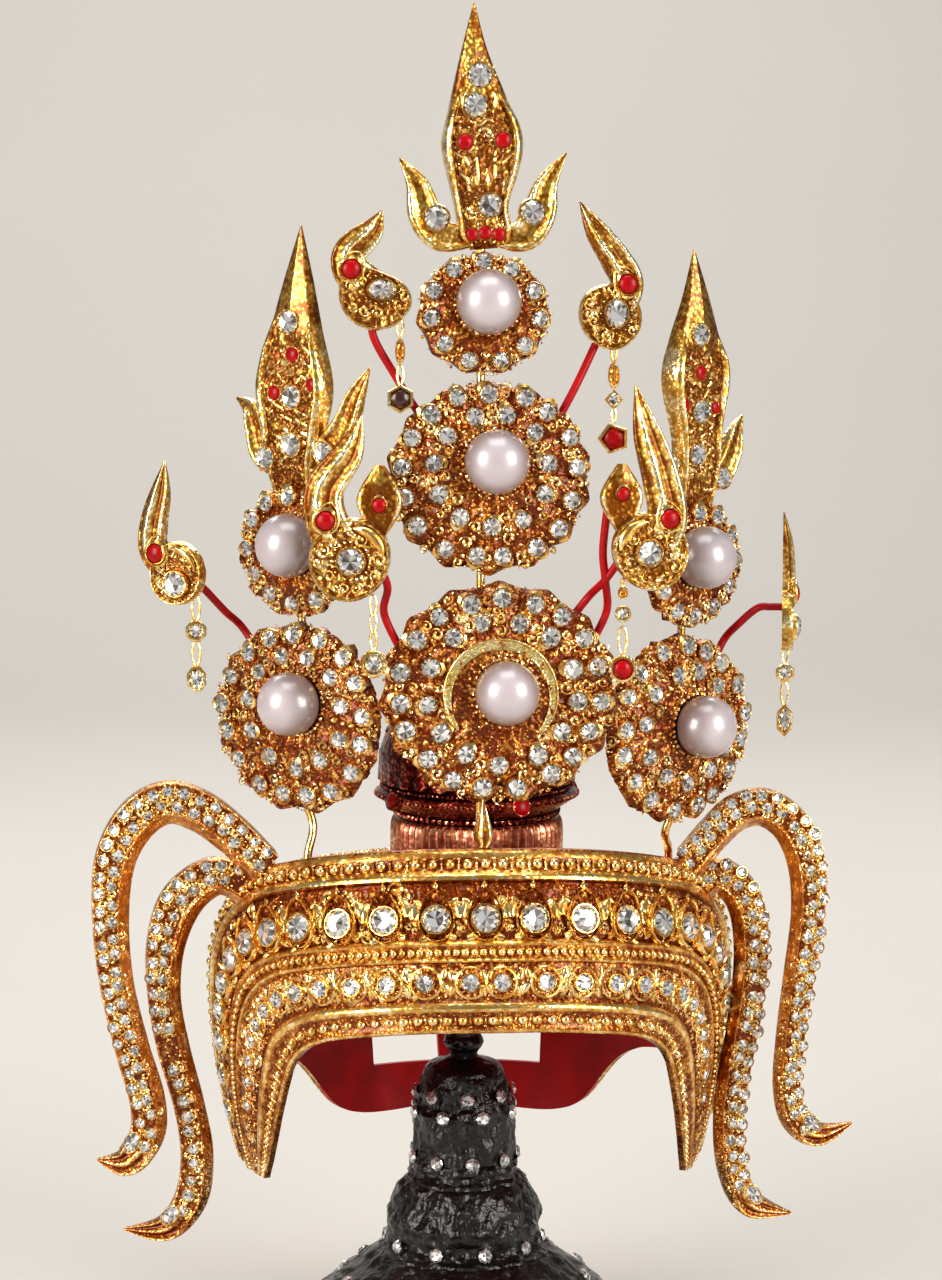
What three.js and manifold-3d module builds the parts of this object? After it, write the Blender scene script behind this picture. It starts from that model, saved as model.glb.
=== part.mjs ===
// An apsara dancer's crown on its display stand. Millimetres, +Z up, the front faces -Y.
// The stand's foot is on z = 0 and its axis is near the z axis.
import * as THREE from 'three';
import { mergeVertices } from 'three/addons/utils/BufferGeometryUtils.js';
import Module from 'manifold-3d';

const wasm = await Module();
wasm.setup();
const degrees = THREE.MathUtils.degToRad;

// ---------------------------------------------------------------- driving dimensions

const GAP = 0.3; // between pieces that touch
const BAND = {
  halfWidth: 95,
  halfDepth: 94,
  widestHeight: 152,
  upperBow: 105, // bow radius of the wall above its widest height
  lowerBow: 230, // and below it
  wall: 2.2,
  seat: 0.8, // clearance of what laps inside the wall
  stations: 28,
  innerRows: 6,
};
const LID = { flatTop: 191, edgeTop: 181, flatPart: 0.45, wall: 2, sides: 24 };
const BACK = { wall: 2, end: 104, steps: 26, rows: 3 };
const COLLAR = { x: 2, y: -12, sides: 14 };
const ARM = { thickness: 7, stones: 12, stoneRise: 1.8, reach: 24 }; // reach: cut behind the frontlet
const ROD = { radius: 1.5, sides: 6 };
const WIRE = { radius: 1.4, sides: 6 };
const BOSS = { height: 6.6, radius: 10.2 };
const PEARL = { radius: 10.6, sunk: 5.6, sides: 8 };
const LOBE = { sides: 12, edge: 2.6, top: 4 };
const GEMS = { white: 5.1, red: 3.4, height: 2.6 };
const DROP = { sides: 4, depth: 1.6 };
const STAND = { x: -2, sides: 14 };

// Frontlet: a row for each station from the centre to the tip of an ear tab. The strip runs from its
// outer edge (the rim, then the tab's rear edge) to its inner edge (the arch, then the tab's front).
const FRONTLET = [
  { outerAngle: 0, outerHeight: 211, innerAngle: 0, innerHeight: 150 },
  { outerAngle: 18, outerHeight: 210, innerAngle: 12, innerHeight: 149.5 },
  { outerAngle: 36, outerHeight: 207, innerAngle: 23, innerHeight: 147.5 },
  { outerAngle: 53, outerHeight: 202, innerAngle: 33, innerHeight: 144.5 },
  { outerAngle: 68, outerHeight: 195, innerAngle: 40, innerHeight: 140 },
  { outerAngle: 79, outerHeight: 183, innerAngle: 44.5, innerHeight: 133 },
  { outerAngle: 86, outerHeight: 165, innerAngle: 47, innerHeight: 125 },
  { outerAngle: 88.5, outerHeight: 145, innerAngle: 50, innerHeight: 115 },
  { outerAngle: 89, outerHeight: 122, innerAngle: 54, innerHeight: 103 },
  { outerAngle: 87, outerHeight: 100, innerAngle: 58.5, innerHeight: 92.5 },
  { outerAngle: 81, outerHeight: 85, innerAngle: 63.5, innerHeight: 84 },
];

// Mouldings of the frontlet, from its outer edge (across = 0) to its inner edge (across = 1).
const MOULDINGS = [
  { across: 0, lift: 0.2 },
  { across: 0.04, lift: 1.6 },
  { across: 0.13, lift: 1.2 },
  { across: 0.17, lift: -0.4 },
  { across: 0.33, lift: -0.4 },
  { across: 0.5, lift: -0.4 },
  { across: 0.55, lift: 1.2 },
  { across: 0.6, lift: 0 },
  { across: 0.8, lift: 0 },
  { across: 0.86, lift: 1.5 },
  { across: 0.91, lift: 0.3 },
  { across: 1, lift: 0.4 },
];

// Rows of set stones on the frontlet. Stations count the rows of FRONTLET.
const FRONTLET_STONES = [
  { across: 0.36, radius: 5.2, rise: 3.4, sides: 4, perSide: 10, first: 0, pitch: 0.76 },
  { across: 0.71, radius: 3.7, rise: 2.2, sides: 4, perSide: 8, first: 0.36, pitch: 0.8 },
];

// Lower edge of the back band, by the angle from the middle of the back.
const BACK_EDGE = [
  { angle: 0, height: 82 },
  { angle: 14, height: 79 },
  { angle: 28, height: 79 },
  { angle: 37, height: 84 },
  { angle: 46, height: 101 },
  { angle: 54, height: 108 },
  { angle: 66, height: 111 },
  { angle: 85, height: 114 },
  { angle: 104, height: 117 },
];
const WINDOWS = [
  { angle: 14, sill: 96, width: 27, height: 36 },
  { angle: 38, sill: 111, width: 20, height: 34 },
  { angle: 64, sill: 124, width: 22, height: 30 },
];

// Topknot: ribbed ring, groove, bowl and low bud, from the bottom up.
const COLLAR_PROFILE = [
  { radius: 30, height: 0 },
  { radius: 31, height: 6 },
  { radius: 31, height: 21 },
  { radius: 29, height: 22 },
  { radius: 30.5, height: 24 },
  { radius: 36.5, height: 28.5 },
  { radius: 34.5, height: 33 },
  { radius: 35.5, height: 39 },
  { radius: 33.5, height: 49 },
  { radius: 28, height: 59 },
  { radius: 16, height: 67 },
];

// Towers: a point of the back plane that their castings share, and the way they face.
const TOWERS = {
  centre: { x: 0, y: -65, turn: 0 },
  left: { x: -62.5, y: -40, turn: -38 },
  right: { x: 74.5, y: -37, turn: 38 },
};

// Rosettes, in their tower's own axes: shift and lift take the pearl off the centre, and tall is the
// share of the radius that the height keeps.
const ROSETTES = [
  {
    tower: 'centre', level: 'low', x: 6, height: 263.5, radius: 42.5, tall: 0.93,
    petals: 15, rings: 2, shift: 2.3, lift: 1.2,
  },
  {
    tower: 'centre', level: 'middle', x: 2.4, height: 337.7, radius: 36, tall: 0.94,
    petals: 14, rings: 2, shift: 2.3, lift: 6.5,
  },
  {
    tower: 'centre', level: 'top', x: 0.6, height: 393.9, radius: 24, tall: 0.9,
    petals: 11, rings: 1, shift: 1.3, lift: 4.4,
  },
  {
    tower: 'left', level: 'low', x: 0.5, height: 251.7, radius: 37, tall: 0.93,
    petals: 13, rings: 2, shift: 3.6, lift: 6.4,
  },
  {
    tower: 'left', level: 'middle', x: 0, height: 310.3, radius: 25, tall: 0.95,
    petals: 11, rings: 1, shift: 3.8, lift: 3.4,
  },
  {
    tower: 'right', level: 'low', x: -5.8, height: 247, radius: 36, tall: 0.95,
    petals: 13, rings: 2, shift: 5, lift: 1,
  },
  {
    tower: 'right', level: 'middle', x: 1.5, height: 304.6, radius: 24, tall: 0.95,
    petals: 11, rings: 1, shift: -3.4, lift: 3.6,
  },
];

// Spires in their tower's own axes: the body, then the side flames.
const SPIRES = {
  centre: {
    body: [
      { x: 2, height: 416, half: 6, depth: 3 },
      { x: 1.6, height: 421, half: 9, depth: 5 },
      { x: 0, height: 430.8, half: 9.4, depth: 6 },
      { x: 0.3, height: 450.8, half: 14, depth: 8 },
      { x: -1.1, height: 465.8, half: 9.8, depth: 7 },
      { x: -2.4, height: 482.5, half: 4.5, depth: 4.5 },
      { x: -2.4, height: 498.3, half: 0.3, depth: 0.4 },
    ],
    flames: [
      [
        { x: -3, height: 420, half: 3.5, depth: 3 },
        { x: -13.5, height: 420.5, half: 5.6, depth: 4.5 },
        { x: -19, height: 427.5, half: 6, depth: 4.6 },
        { x: -22, height: 438, half: 3.8, depth: 3 },
        { x: -27.8, height: 446.5, half: 0.3, depth: 0.4 },
      ],
      [
        { x: 5, height: 420, half: 3.5, depth: 3 },
        { x: 14.5, height: 420.5, half: 5.6, depth: 4.5 },
        { x: 19.5, height: 428, half: 6, depth: 4.6 },
        { x: 22.5, height: 438.5, half: 3.8, depth: 3 },
        { x: 29, height: 448.3, half: 0.3, depth: 0.4 },
      ],
    ],
  },
  left: {
    body: [
      { x: -0.5, height: 334.2, half: 2.5, depth: 3.5 },
      { x: -1, height: 342, half: 10, depth: 6 },
      { x: 0, height: 353.2, half: 12.8, depth: 7.5 },
      { x: 1, height: 369, half: 15.2, depth: 8.5 },
      { x: 1.2, height: 388, half: 10.4, depth: 7.5 },
      { x: 1.8, height: 405.2, half: 5.8, depth: 5 },
      { x: 2.2, height: 423.8, half: 0.3, depth: 0.4 },
    ],
    flames: [
      [
        { x: -2, height: 340, half: 3, depth: 3 },
        { x: -12, height: 344, half: 5.6, depth: 4.5 },
        { x: -16, height: 354, half: 5, depth: 4.4 },
        { x: -20, height: 360.5, half: 3.2, depth: 3 },
        { x: -26.7, height: 363.7, half: 0.3, depth: 0.4 },
      ],
      [
        { x: 2, height: 341, half: 3, depth: 3 },
        { x: 13, height: 345, half: 5.6, depth: 4.5 },
        { x: 21.5, height: 354.5, half: 5, depth: 4.4 },
        { x: 26.5, height: 366, half: 3.4, depth: 3 },
        { x: 31.5, height: 375.5, half: 0.3, depth: 0.4 },
      ],
    ],
  },
  right: {
    body: [
      { x: 2.5, height: 327.6, half: 2.5, depth: 3.5 },
      { x: 3, height: 338, half: 9.5, depth: 6 },
      { x: 2.5, height: 352, half: 10.5, depth: 7 },
      { x: 1.5, height: 370, half: 14.2, depth: 8.5 },
      { x: 2.2, height: 383, half: 11.6, depth: 7.5 },
      { x: 3, height: 398.1, half: 6, depth: 5 },
      { x: 3, height: 415.5, half: 0.3, depth: 0.4 },
    ],
    flames: [
      [
        { x: 1, height: 331, half: 2.5, depth: 3 },
        { x: -10, height: 334, half: 4.4, depth: 4.5 },
        { x: -15.5, height: 344, half: 4.4, depth: 4.4 },
        { x: -19, height: 352, half: 2.4, depth: 3 },
        { x: -22, height: 355, half: 0.3, depth: 0.4 },
      ],
      [
        { x: 4, height: 333, half: 3, depth: 3 },
        { x: 14, height: 336, half: 5, depth: 4.5 },
        { x: 20, height: 344, half: 4.8, depth: 4.4 },
        { x: 23.5, height: 351, half: 3, depth: 3 },
        { x: 28.2, height: 356.8, half: 0.3, depth: 0.4 },
      ],
    ],
  },
};

// Side arms: centre lines in the plane y, from the frontlet to the tip of the hook.
const ARMS = {
  left_outer: {
    y: -40,
    line: [
      { x: -66, height: 188, half: 7 },
      { x: -77, height: 200, half: 7 },
      { x: -87, height: 210, half: 7.4 },
      { x: -97.5, height: 218, half: 7.8 },
      { x: -109, height: 221.5, half: 8 },
      { x: -120, height: 215.5, half: 8 },
      { x: -128, height: 201, half: 7.4 },
      { x: -130, height: 180, half: 6.6 },
      { x: -128, height: 156, half: 6.1 },
      { x: -122.8, height: 132.5, half: 6.2 },
      { x: -117.8, height: 114, half: 6.4 },
      { x: -118, height: 101, half: 6.4 },
      { x: -125.5, height: 91.5, half: 5.4 },
      { x: -136.6, height: 91.8, half: 0.5 },
    ],
  },
  left_inner: {
    y: -31.5,
    line: [
      { x: -76, height: 184, half: 6.5 },
      { x: -88, height: 192.5, half: 7 },
      { x: -97, height: 191.5, half: 7.6 },
      { x: -106, height: 182.5, half: 8 },
      { x: -111, height: 167, half: 7 },
      { x: -111.5, height: 149, half: 6 },
      { x: -108.6, height: 131, half: 5.9 },
      { x: -103, height: 109, half: 5.6 },
      { x: -100.4, height: 90.5, half: 6 },
      { x: -103, height: 74, half: 6.2 },
      { x: -112.2, height: 64.2, half: 4.8 },
      { x: -127, height: 63.4, half: 0.5 },
    ],
  },
  right_outer: {
    y: -40,
    line: [
      { x: 66, height: 186, half: 6.5 },
      { x: 77.3, height: 198.2, half: 6.5 },
      { x: 85.5, height: 208, half: 6.5 },
      { x: 94, height: 215.6, half: 6.8 },
      { x: 104, height: 217, half: 7 },
      { x: 113.5, height: 210, half: 7 },
      { x: 119, height: 196.5, half: 6.8 },
      { x: 119.6, height: 178.3, half: 6 },
      { x: 116.5, height: 154.5, half: 5.5 },
      { x: 113.8, height: 132.5, half: 5.2 },
      { x: 112.8, height: 114, half: 5 },
      { x: 116.8, height: 102, half: 5.6 },
      { x: 125, height: 97, half: 4.2 },
      { x: 137, height: 100.5, half: 0.5 },
    ],
  },
  right_inner: {
    y: -31.5,
    line: [
      { x: 76, height: 182, half: 6 },
      { x: 87, height: 190.6, half: 6.4 },
      { x: 95, height: 186.5, half: 6.8 },
      { x: 99.6, height: 176, half: 6.6 },
      { x: 100.5, height: 159.5, half: 6.2 },
      { x: 98.4, height: 139.5, half: 6 },
      { x: 94.6, height: 117.5, half: 5.8 },
      { x: 92.9, height: 98.5, half: 5.6 },
      { x: 94.6, height: 81, half: 5.4 },
      { x: 101.5, height: 69, half: 5 },
      { x: 116.5, height: 64.6, half: 0.5 },
    ],
  },
};

// Kanok ornaments: the round lobe's centre and radius, the neck that holds the red stone, the flame's
// tip, how far the flame bulges and, where there is one, a second small lobe. Offsets are from the
// lobe's centre, in the ornament's own turned axes.
const KANOKS = {
  upper_left: {
    x: -35.7, y: -60, height: 401, turn: 0, radius: 12.8, neck: [-8.6, 8.2], tip: [2.2, 28], bulge: -3,
  },
  upper_right: {
    x: 44, y: -60, height: 392.4, turn: 0, radius: 11.6, neck: [6.4, 11.6], tip: [-9.8, 39.5], bulge: 1,
  },
  far_left: {
    x: -104.6, y: -36, height: 303, turn: -30, radius: 11.4, neck: [-9.4, 8], tip: [-5, 39], bulge: -1,
  },
  far_right: {
    x: 110.4, y: -30, height: 283.6, turn: 80, radius: 10.8, neck: [8.4, 9], tip: [3, 39], bulge: 1,
  },
  front_left: {
    x: -44.7, y: -75, height: 310.8, turn: -8, radius: 14.7, neck: [-8.5, 13.7], tip: [3.6, 49.4], bulge: -4,
    second: { x: 9.6, height: 20.5, half: 8 },
  },
  front_right: {
    x: 56.6, y: -75, height: 313, turn: 8, radius: 14, neck: [6.5, 11.6], tip: [-4.8, 57], bulge: 1,
    second: { x: -9.5, height: 19, half: 7.6 },
  },
};

// Wires that carry the kanok ornaments: where each starts on the back of its ornament, how far it first
// stands straight out from it, the free route, and where it ends behind a tower.
const WIRES = {
  upper_left: {
    start: [-1, -6], route: [[-36.5, -58.3, 386], [-29, -58, 372.5], [-22.5, -58.6, 362]],
    tower: 'centre', end: [-14, 350],
  },
  upper_right: {
    start: [-2, -4], route: [[39.8, -58.3, 383], [32.5, -62, 368.5]], tower: 'centre', end: [25, 355],
  },
  far_left: {
    start: [3, -2], stub: 4, route: [[-95.3, -30, 296], [-88.5, -25.5, 288], [-82, -20.5, 281]],
    tower: 'left', end: [-15, 268],
  },
  far_right: {
    start: [0, 5], stub: 4, route: [[101.8, -28, 288], [95.6, -24.5, 282], [90.5, -20, 275]],
    tower: 'right', end: [13, 263],
  },
  front_left: {
    start: [9, -2], route: [[-32.5, -71.5, 301], [-33.4, -64.6, 291]], tower: 'centre', end: [-27, 277],
  },
  front_right: {
    start: [-7.5, 0], route: [[42.4, -70.8, 303], [37, -63.6, 296]], tower: 'centre', end: [27, 283],
  },
};
const CROSSED_WIRE = {
  start: [-13.5, 19], route: [[41.4, -72.6, 314], [42.4, -70.8, 303], [43.6, -63.6, 291]], end: [37, 278],
};

// Drops: a centre line that hangs from an ornament at x, y. Half is the half width seen from the front.
const DROPS = {
  upper_left: {
    x: -27.6, y: -62.4, links: [
      { height: 393, half: 0.8 },
      { height: 387, half: 0.8 },
      { height: 385, half: 1.7 },
      { height: 377.5, half: 1.7 },
      { height: 375.5, half: 0.6 },
      { height: 371.5, half: 0.6 },
      { height: 368.5, half: 4.6 },
      { height: 362.5, half: 4.6 },
      { height: 360.5, half: 2.6 },
    ],
  },
  upper_right: {
    x: 46, y: -61.3, links: [
      { height: 383.5, half: 0.8 },
      { height: 378, half: 0.8 },
      { height: 375.5, half: 2 },
      { height: 370, half: 2 },
      { height: 368, half: 0.8 },
      { height: 364.2, half: 3.6 },
      { height: 359.5, half: 0.8 },
      { height: 356, half: 5 },
      { height: 350, half: 6 },
      { height: 345.5, half: 3 },
    ],
  },
  far_left: {
    x: -98.6, y: -38.4, links: [
      { height: 295, half: 0.8 },
      { height: 287.5, half: 0.8 },
      { height: 285, half: 3.8 },
      { height: 280, half: 3.8 },
      { height: 278, half: 0.9 },
      { height: 271, half: 0.9 },
      { height: 266, half: 3.9 },
      { height: 262.5, half: 3.6 },
      { height: 260, half: 1.4 },
    ],
  },
  far_right: {
    x: 111.6, y: -30.2, links: [
      { height: 275, half: 0.8 },
      { height: 269.5, half: 0.8 },
      { height: 267.5, half: 3.5 },
      { height: 262, half: 3.5 },
      { height: 260, half: 0.9 },
      { height: 253.5, half: 0.9 },
      { height: 249.5, half: 3.2 },
      { height: 246, half: 2.6 },
      { height: 241.5, half: 0.4 },
    ],
  },
  front_left: {
    x: -37.6, y: -77.4, links: [
      { height: 300, half: 1.6 },
      { height: 296, half: 2.6 },
      { height: 292, half: 2.2 },
      { height: 288.5, half: 1.6 },
      { height: 283.5, half: 1.8 },
      { height: 281, half: 1.2 },
      { height: 279.5, half: 4.6 },
      { height: 273, half: 4.9 },
      { height: 270.6, half: 2.8 },
    ],
  },
  front_right: {
    x: 47.8, y: -77.4, links: [
      { height: 304.5, half: 0.9 },
      { height: 301, half: 1.8 },
      { height: 297.5, half: 1.8 },
      { height: 296, half: 1 },
      { height: 294.5, half: 2.8 },
      { height: 289.5, half: 2.8 },
      { height: 287, half: 0.9 },
      { height: 281, half: 0.9 },
      { height: 278.5, half: 4.4 },
      { height: 270.5, half: 4.9 },
      { height: 268, half: 2.8 },
    ],
  },
};

// Rods that carry the towers: the foot on the lid, then a free route, then straight up to the top,
// given in the tower's own axes.
const RODS = {
  centre: { foot: [3, -63.2], route: [], straightFrom: 215, top: [0, 426] },
  left: { foot: [-60, -44], route: [[-60, -43.5, 202], [-58, -40.6, 213]], straightFrom: 226, top: [0, 352] },
  right: { foot: [70, -30], route: [[70, -30.5, 201], [68, -37.5, 209]], straightFrom: 224, top: [0, 348] },
};

// Turned stand, from the foot up: foot, flare, bowl, drum, tier, knob and the post up to the lid.
const STAND_PROFILE = [
  { radius: 72, height: 0 },
  { radius: 72, height: 9 },
  { radius: 66, height: 14 },
  { radius: 60, height: 24 },
  { radius: 49, height: 33 },
  { radius: 33, height: 46 },
  { radius: 29, height: 50 },
  { radius: 30, height: 59 },
  { radius: 24, height: 72 },
  { radius: 20.5, height: 76 },
  { radius: 19.5, height: 100 },
  { radius: 14.5, height: 114 },
  { radius: 13, height: 116 },
  { radius: 5, height: 119 },
  { radius: 7.5, height: 124 },
  { radius: 6, height: 127 },
  { radius: 6, height: 180 },
  { radius: 18, height: 186 },
  { radius: 18, height: 188.7 },
];

// ---------------------------------------------------------------- colours

const gold = () => new THREE.MeshStandardMaterial({ color: 0xc8922e, roughness: 0.3, metalness: 1 });
const redGold = () => new THREE.MeshStandardMaterial({ color: 0x7a3a1c, roughness: 0.35, metalness: 1 });
const pearlWhite = () => new THREE.MeshStandardMaterial({ color: 0xe8d8dc, roughness: 0.25 });
const crystal = () => new THREE.MeshStandardMaterial({ color: 0xe9eef2, roughness: 0.05 });
const redGlass = () => new THREE.MeshStandardMaterial({ color: 0xd0121b, roughness: 0.08 });
const redLacquer = () => new THREE.MeshStandardMaterial({ color: 0xc4101a, roughness: 0.4 });
const blackLacquer = () => new THREE.MeshStandardMaterial({ color: 0x0a0808, roughness: 0.15 });

// ---------------------------------------------------------------- solids

function toSolid(geometry) {
  const bare = geometry.clone();
  bare.deleteAttribute('normal');
  bare.deleteAttribute('uv');
  const merged = mergeVertices(bare, 1e-4);
  const vertProperties = new Float32Array(merged.attributes.position.array);
  const triVerts = new Uint32Array(merged.index.array);
  return new wasm.Manifold(new wasm.Mesh({ numProp: 3, vertProperties, triVerts }));
}

function fromSolid(solid) {
  const mesh = solid.getMesh();
  const geometry = new THREE.BufferGeometry();
  geometry.setAttribute('position', new THREE.BufferAttribute(new Float32Array(mesh.vertProperties), 3));
  geometry.setIndex(Array.from(mesh.triVerts));
  geometry.computeVertexNormals();
  return geometry;
}

function join(first, ...others) {
  return fromSolid(others.reduce((sum, other) => sum.add(toSolid(other)), toSolid(first)));
}

function cut(body, ...tools) {
  return fromSolid(tools.reduce((rest, tool) => rest.subtract(toSolid(tool)), toSolid(body)));
}

function signedVolume(points, triangles) {
  let sum = 0;
  for (const [a, b, c] of triangles) {
    sum += points[a].dot(new THREE.Vector3().crossVectors(points[b], points[c]));
  }
  return sum / 6;
}

function closedMesh(points, triangles) {
  const outward = signedVolume(points, triangles) > 0;
  const faces = outward ? triangles : triangles.map(([a, b, c]) => [a, c, b]);
  const geometry = new THREE.BufferGeometry().setFromPoints(points);
  geometry.setIndex(faces.flat());
  geometry.computeVertexNormals();
  return geometry;
}

// Triangles that close a flat or nearly flat ring, wound the way the ring runs.
function capOf(contour) {
  const clockwise = THREE.ShapeUtils.isClockWise(contour);
  const order = contour.map((_, i) => (clockwise ? contour.length - 1 - i : i));
  const faces = THREE.ShapeUtils.triangulateShape(order.map((i) => contour[i]), []);
  const named = faces.map((face) => face.map((i) => order[i]));
  return clockwise ? named.map(([a, b, c]) => [a, c, b]) : named;
}

// A closed skin through rings of equal length. Contours are the flat outlines of the two end rings.
function loft(rings, firstContour, lastContour = firstContour) {
  const count = rings[0].length;
  const triangles = [];
  for (let i = 0; i + 1 < rings.length; i += 1) {
    for (let k = 0; k < count; k += 1) {
      const a = i * count + k;
      const b = i * count + ((k + 1) % count);
      triangles.push([a, b, b + count], [a, b + count, a + count]);
    }
  }
  const last = (rings.length - 1) * count;
  for (const [a, b, c] of capOf(firstContour)) {
    triangles.push([a, c, b]);
  }
  for (const [a, b, c] of capOf(lastContour)) {
    triangles.push([last + a, last + b, last + c]);
  }
  return closedMesh(rings.flat(), triangles);
}

// A smooth curve through the named columns of a table's rows.
function follow(rows, ...columns) {
  const splines = columns.map((column) => new THREE.SplineCurve(
    rows.map((row, i) => new THREE.Vector2(i, row[column])),
  ));
  return (station) => {
    const t = Math.min(1, Math.max(0, station / (rows.length - 1)));
    const values = splines.map((spline) => spline.getPoint(t).y);
    return Object.fromEntries(columns.map((column, i) => [column, values[i]]));
  };
}

// A cast leaf with a flat back at y = 0 and a rounded front, along a line of the xz plane.
const LEAF_SECTION = [[-1, 0], [-0.8, -0.62], [0, -1], [0.8, -0.62], [1, 0]];
function leaf(rows, steps, grow = 0) {
  const at = follow(rows, 'x', 'height', 'half', 'depth');
  const rings = [];
  for (let i = 0; i <= steps; i += 1) {
    const station = ((rows.length - 1) * i) / steps;
    const here = at(station);
    const before = at(station - 0.05);
    const after = at(station + 0.05);
    const run = new THREE.Vector2(after.x - before.x, after.height - before.height).normalize();
    rings.push(LEAF_SECTION.map(([across, deep]) => new THREE.Vector3(
      here.x + across * (Math.abs(here.half) + grow) * run.y,
      deep * (Math.abs(here.depth) + grow) + (deep === 0 ? grow : 0),
      here.height - across * (Math.abs(here.half) + grow) * run.x,
    )));
  }
  return loft(rings, LEAF_SECTION.map(([across, deep]) => new THREE.Vector2(across, deep)));
}

function tube(points, radius, sides) {
  const path = new THREE.CatmullRomCurve3(points.map((point) => new THREE.Vector3(...point)));
  const section = new THREE.Shape();
  section.absarc(0, 0, radius, 0, 2 * Math.PI, false);
  const steps = 2 * (points.length - 1);
  return new THREE.ExtrudeGeometry(section, {
    steps, extrudePath: path, bevelEnabled: false, curveSegments: sides / 2,
  });
}

function polygon(radius, sides, y, x = 0, z = 0, phase = 0) {
  return Array.from({ length: sides }, (_, k) => {
    const angle = (2 * Math.PI * (k + phase)) / sides;
    return new THREE.Vector3(x + radius * Math.sin(angle), y, z + radius * Math.cos(angle));
  });
}

const frontView = (ring) => ring.map((point) => new THREE.Vector2(point.x, point.z));
const topView = (ring) => ring.map((point) => new THREE.Vector2(point.x, point.y));

// ---------------------------------------------------------------- band round the head

function swell(height) {
  const rise = height - BAND.widestHeight;
  return -(rise * rise) / (2 * (rise > 0 ? BAND.upperBow : BAND.lowerBow));
}

// A point of the barrel-shaped wall. Angle is from the middle of the front, towards +x.
function wallPoint(angle, height, lift) {
  const grow = swell(height) + lift;
  return new THREE.Vector3(
    (BAND.halfWidth + grow) * Math.sin(degrees(angle)),
    -(BAND.halfDepth + grow) * Math.cos(degrees(angle)),
    height,
  );
}

const frontletAt = follow(FRONTLET, 'outerAngle', 'outerHeight', 'innerAngle', 'innerHeight');

// A point of the frontlet: station from the middle, negative to the left, and share across the strip.
function frontletPoint(station, across, lift) {
  const row = frontletAt(Math.abs(station));
  const angle = THREE.MathUtils.lerp(row.outerAngle, row.innerAngle, across) * Math.sign(station);
  return wallPoint(angle, THREE.MathUtils.lerp(row.outerHeight, row.innerHeight, across), lift);
}

function frontletStrip(grow, wall) {
  const inner = Array.from({ length: BAND.innerRows }, (_, i) => ({
    across: 1 - i / (BAND.innerRows - 1), lift: -wall - grow,
  }));
  const outer = MOULDINGS.map(({ across, lift }) => ({ across, lift: lift + grow }));
  const section = [...outer, ...inner];
  for (const row of section) {
    row.across += (Math.round(row.across) === row.across ? grow / 20 : 0) * (row.across - 0.5);
  }
  const last = FRONTLET.length - 1;
  const rings = [];
  for (let i = 0; i <= BAND.stations; i += 1) {
    const station = last * ((2 * i) / BAND.stations - 1);
    rings.push(section.map(({ across, lift }) => frontletPoint(station, across, lift)));
  }
  return loft(rings, section.map(({ across, lift }) => new THREE.Vector2(across * 50, lift)));
}

// A short raised bezel with its stone, standing on the frontlet.
function frontletStone(row, station, grow) {
  const foot = frontletPoint(station, row.across, -1.7);
  const top = frontletPoint(station, row.across, row.rise + grow);
  const axis = new THREE.Quaternion().setFromUnitVectors(
    new THREE.Vector3(0, 1, 0), top.clone().sub(foot).normalize(),
  );
  const tall = top.distanceTo(foot);
  const stud = new THREE.CylinderGeometry(row.radius * 0.62 + grow, row.radius + grow, tall, row.sides);
  stud.applyQuaternion(axis);
  const middle = top.add(foot).multiplyScalar(0.5);
  return stud.translate(middle.x, middle.y, middle.z);
}

function frontlet(grow = 0) {
  const stones = [];
  for (const row of FRONTLET_STONES) {
    for (let i = 0; i < row.perSide; i += 1) {
      const station = row.first + i * row.pitch;
      stones.push(frontletStone(row, station + 1e-3, grow));
      if (station > 0) {
        stones.push(frontletStone(row, -station, grow));
      }
    }
  }
  return join(frontletStrip(grow, BAND.wall), ...stones);
}

const backEdgeAt = new THREE.SplineCurve(
  BACK_EDGE.map(({ angle, height }) => new THREE.Vector2(angle, height)),
);

function backEdge(angle) {
  const samples = backEdgeAt.getPoints(10 * BACK_EDGE.length);
  const next = Math.max(1, samples.findIndex((point) => point.x >= Math.abs(angle) - 1e-6));
  const [a, b] = [samples[next - 1], samples[next]];
  return THREE.MathUtils.mapLinear(Math.abs(angle), a.x, b.x, a.y, b.y);
}

function backBand() {
  const outerLift = -BAND.wall - BAND.seat;
  const top = LID.edgeTop - LID.wall - GAP;
  const levels = Array.from({ length: BACK.rows + 1 }, (_, i) => i / BACK.rows);
  const section = [
    ...levels.map((level) => ({ level, lift: outerLift })),
    ...levels.toReversed().map((level) => ({ level, lift: outerLift - BACK.wall })),
  ];
  const rings = [];
  for (let i = 0; i <= BACK.steps; i += 1) {
    const angle = BACK.end * ((2 * i) / BACK.steps - 1);
    const edge = backEdge(angle);
    rings.push(section.map(({ level, lift }) => (
      wallPoint(180 - angle, THREE.MathUtils.lerp(edge, top, level), lift)
    )));
  }
  const band = loft(rings, section.map(({ level, lift }) => new THREE.Vector2(level * 50, lift)));
  const tools = WINDOWS.flatMap((opening) => [windowTool(opening, 1), windowTool(opening, -1)]);
  return cut(band, ...tools);
}

// An arched window, pushed out through the back wall.
function windowTool({ angle, sill, width, height }, side) {
  const arch = new THREE.Shape();
  arch.moveTo(-width / 2, 0);
  arch.lineTo(width / 2, 0);
  arch.lineTo(width / 2, height * 0.7);
  arch.quadraticCurveTo(width * 0.36, height * 0.92, 0, height);
  arch.quadraticCurveTo(-width * 0.36, height * 0.92, -width / 2, height * 0.7);
  const depth = BAND.halfWidth / 2;
  const tool = new THREE.ExtrudeGeometry(arch, { depth, bevelEnabled: false, curveSegments: 3 });
  tool.rotateX(Math.PI / 2);
  tool.translate(0, BAND.halfWidth * 1.3, sill);
  return tool.rotateZ(degrees(-angle * side));
}

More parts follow.
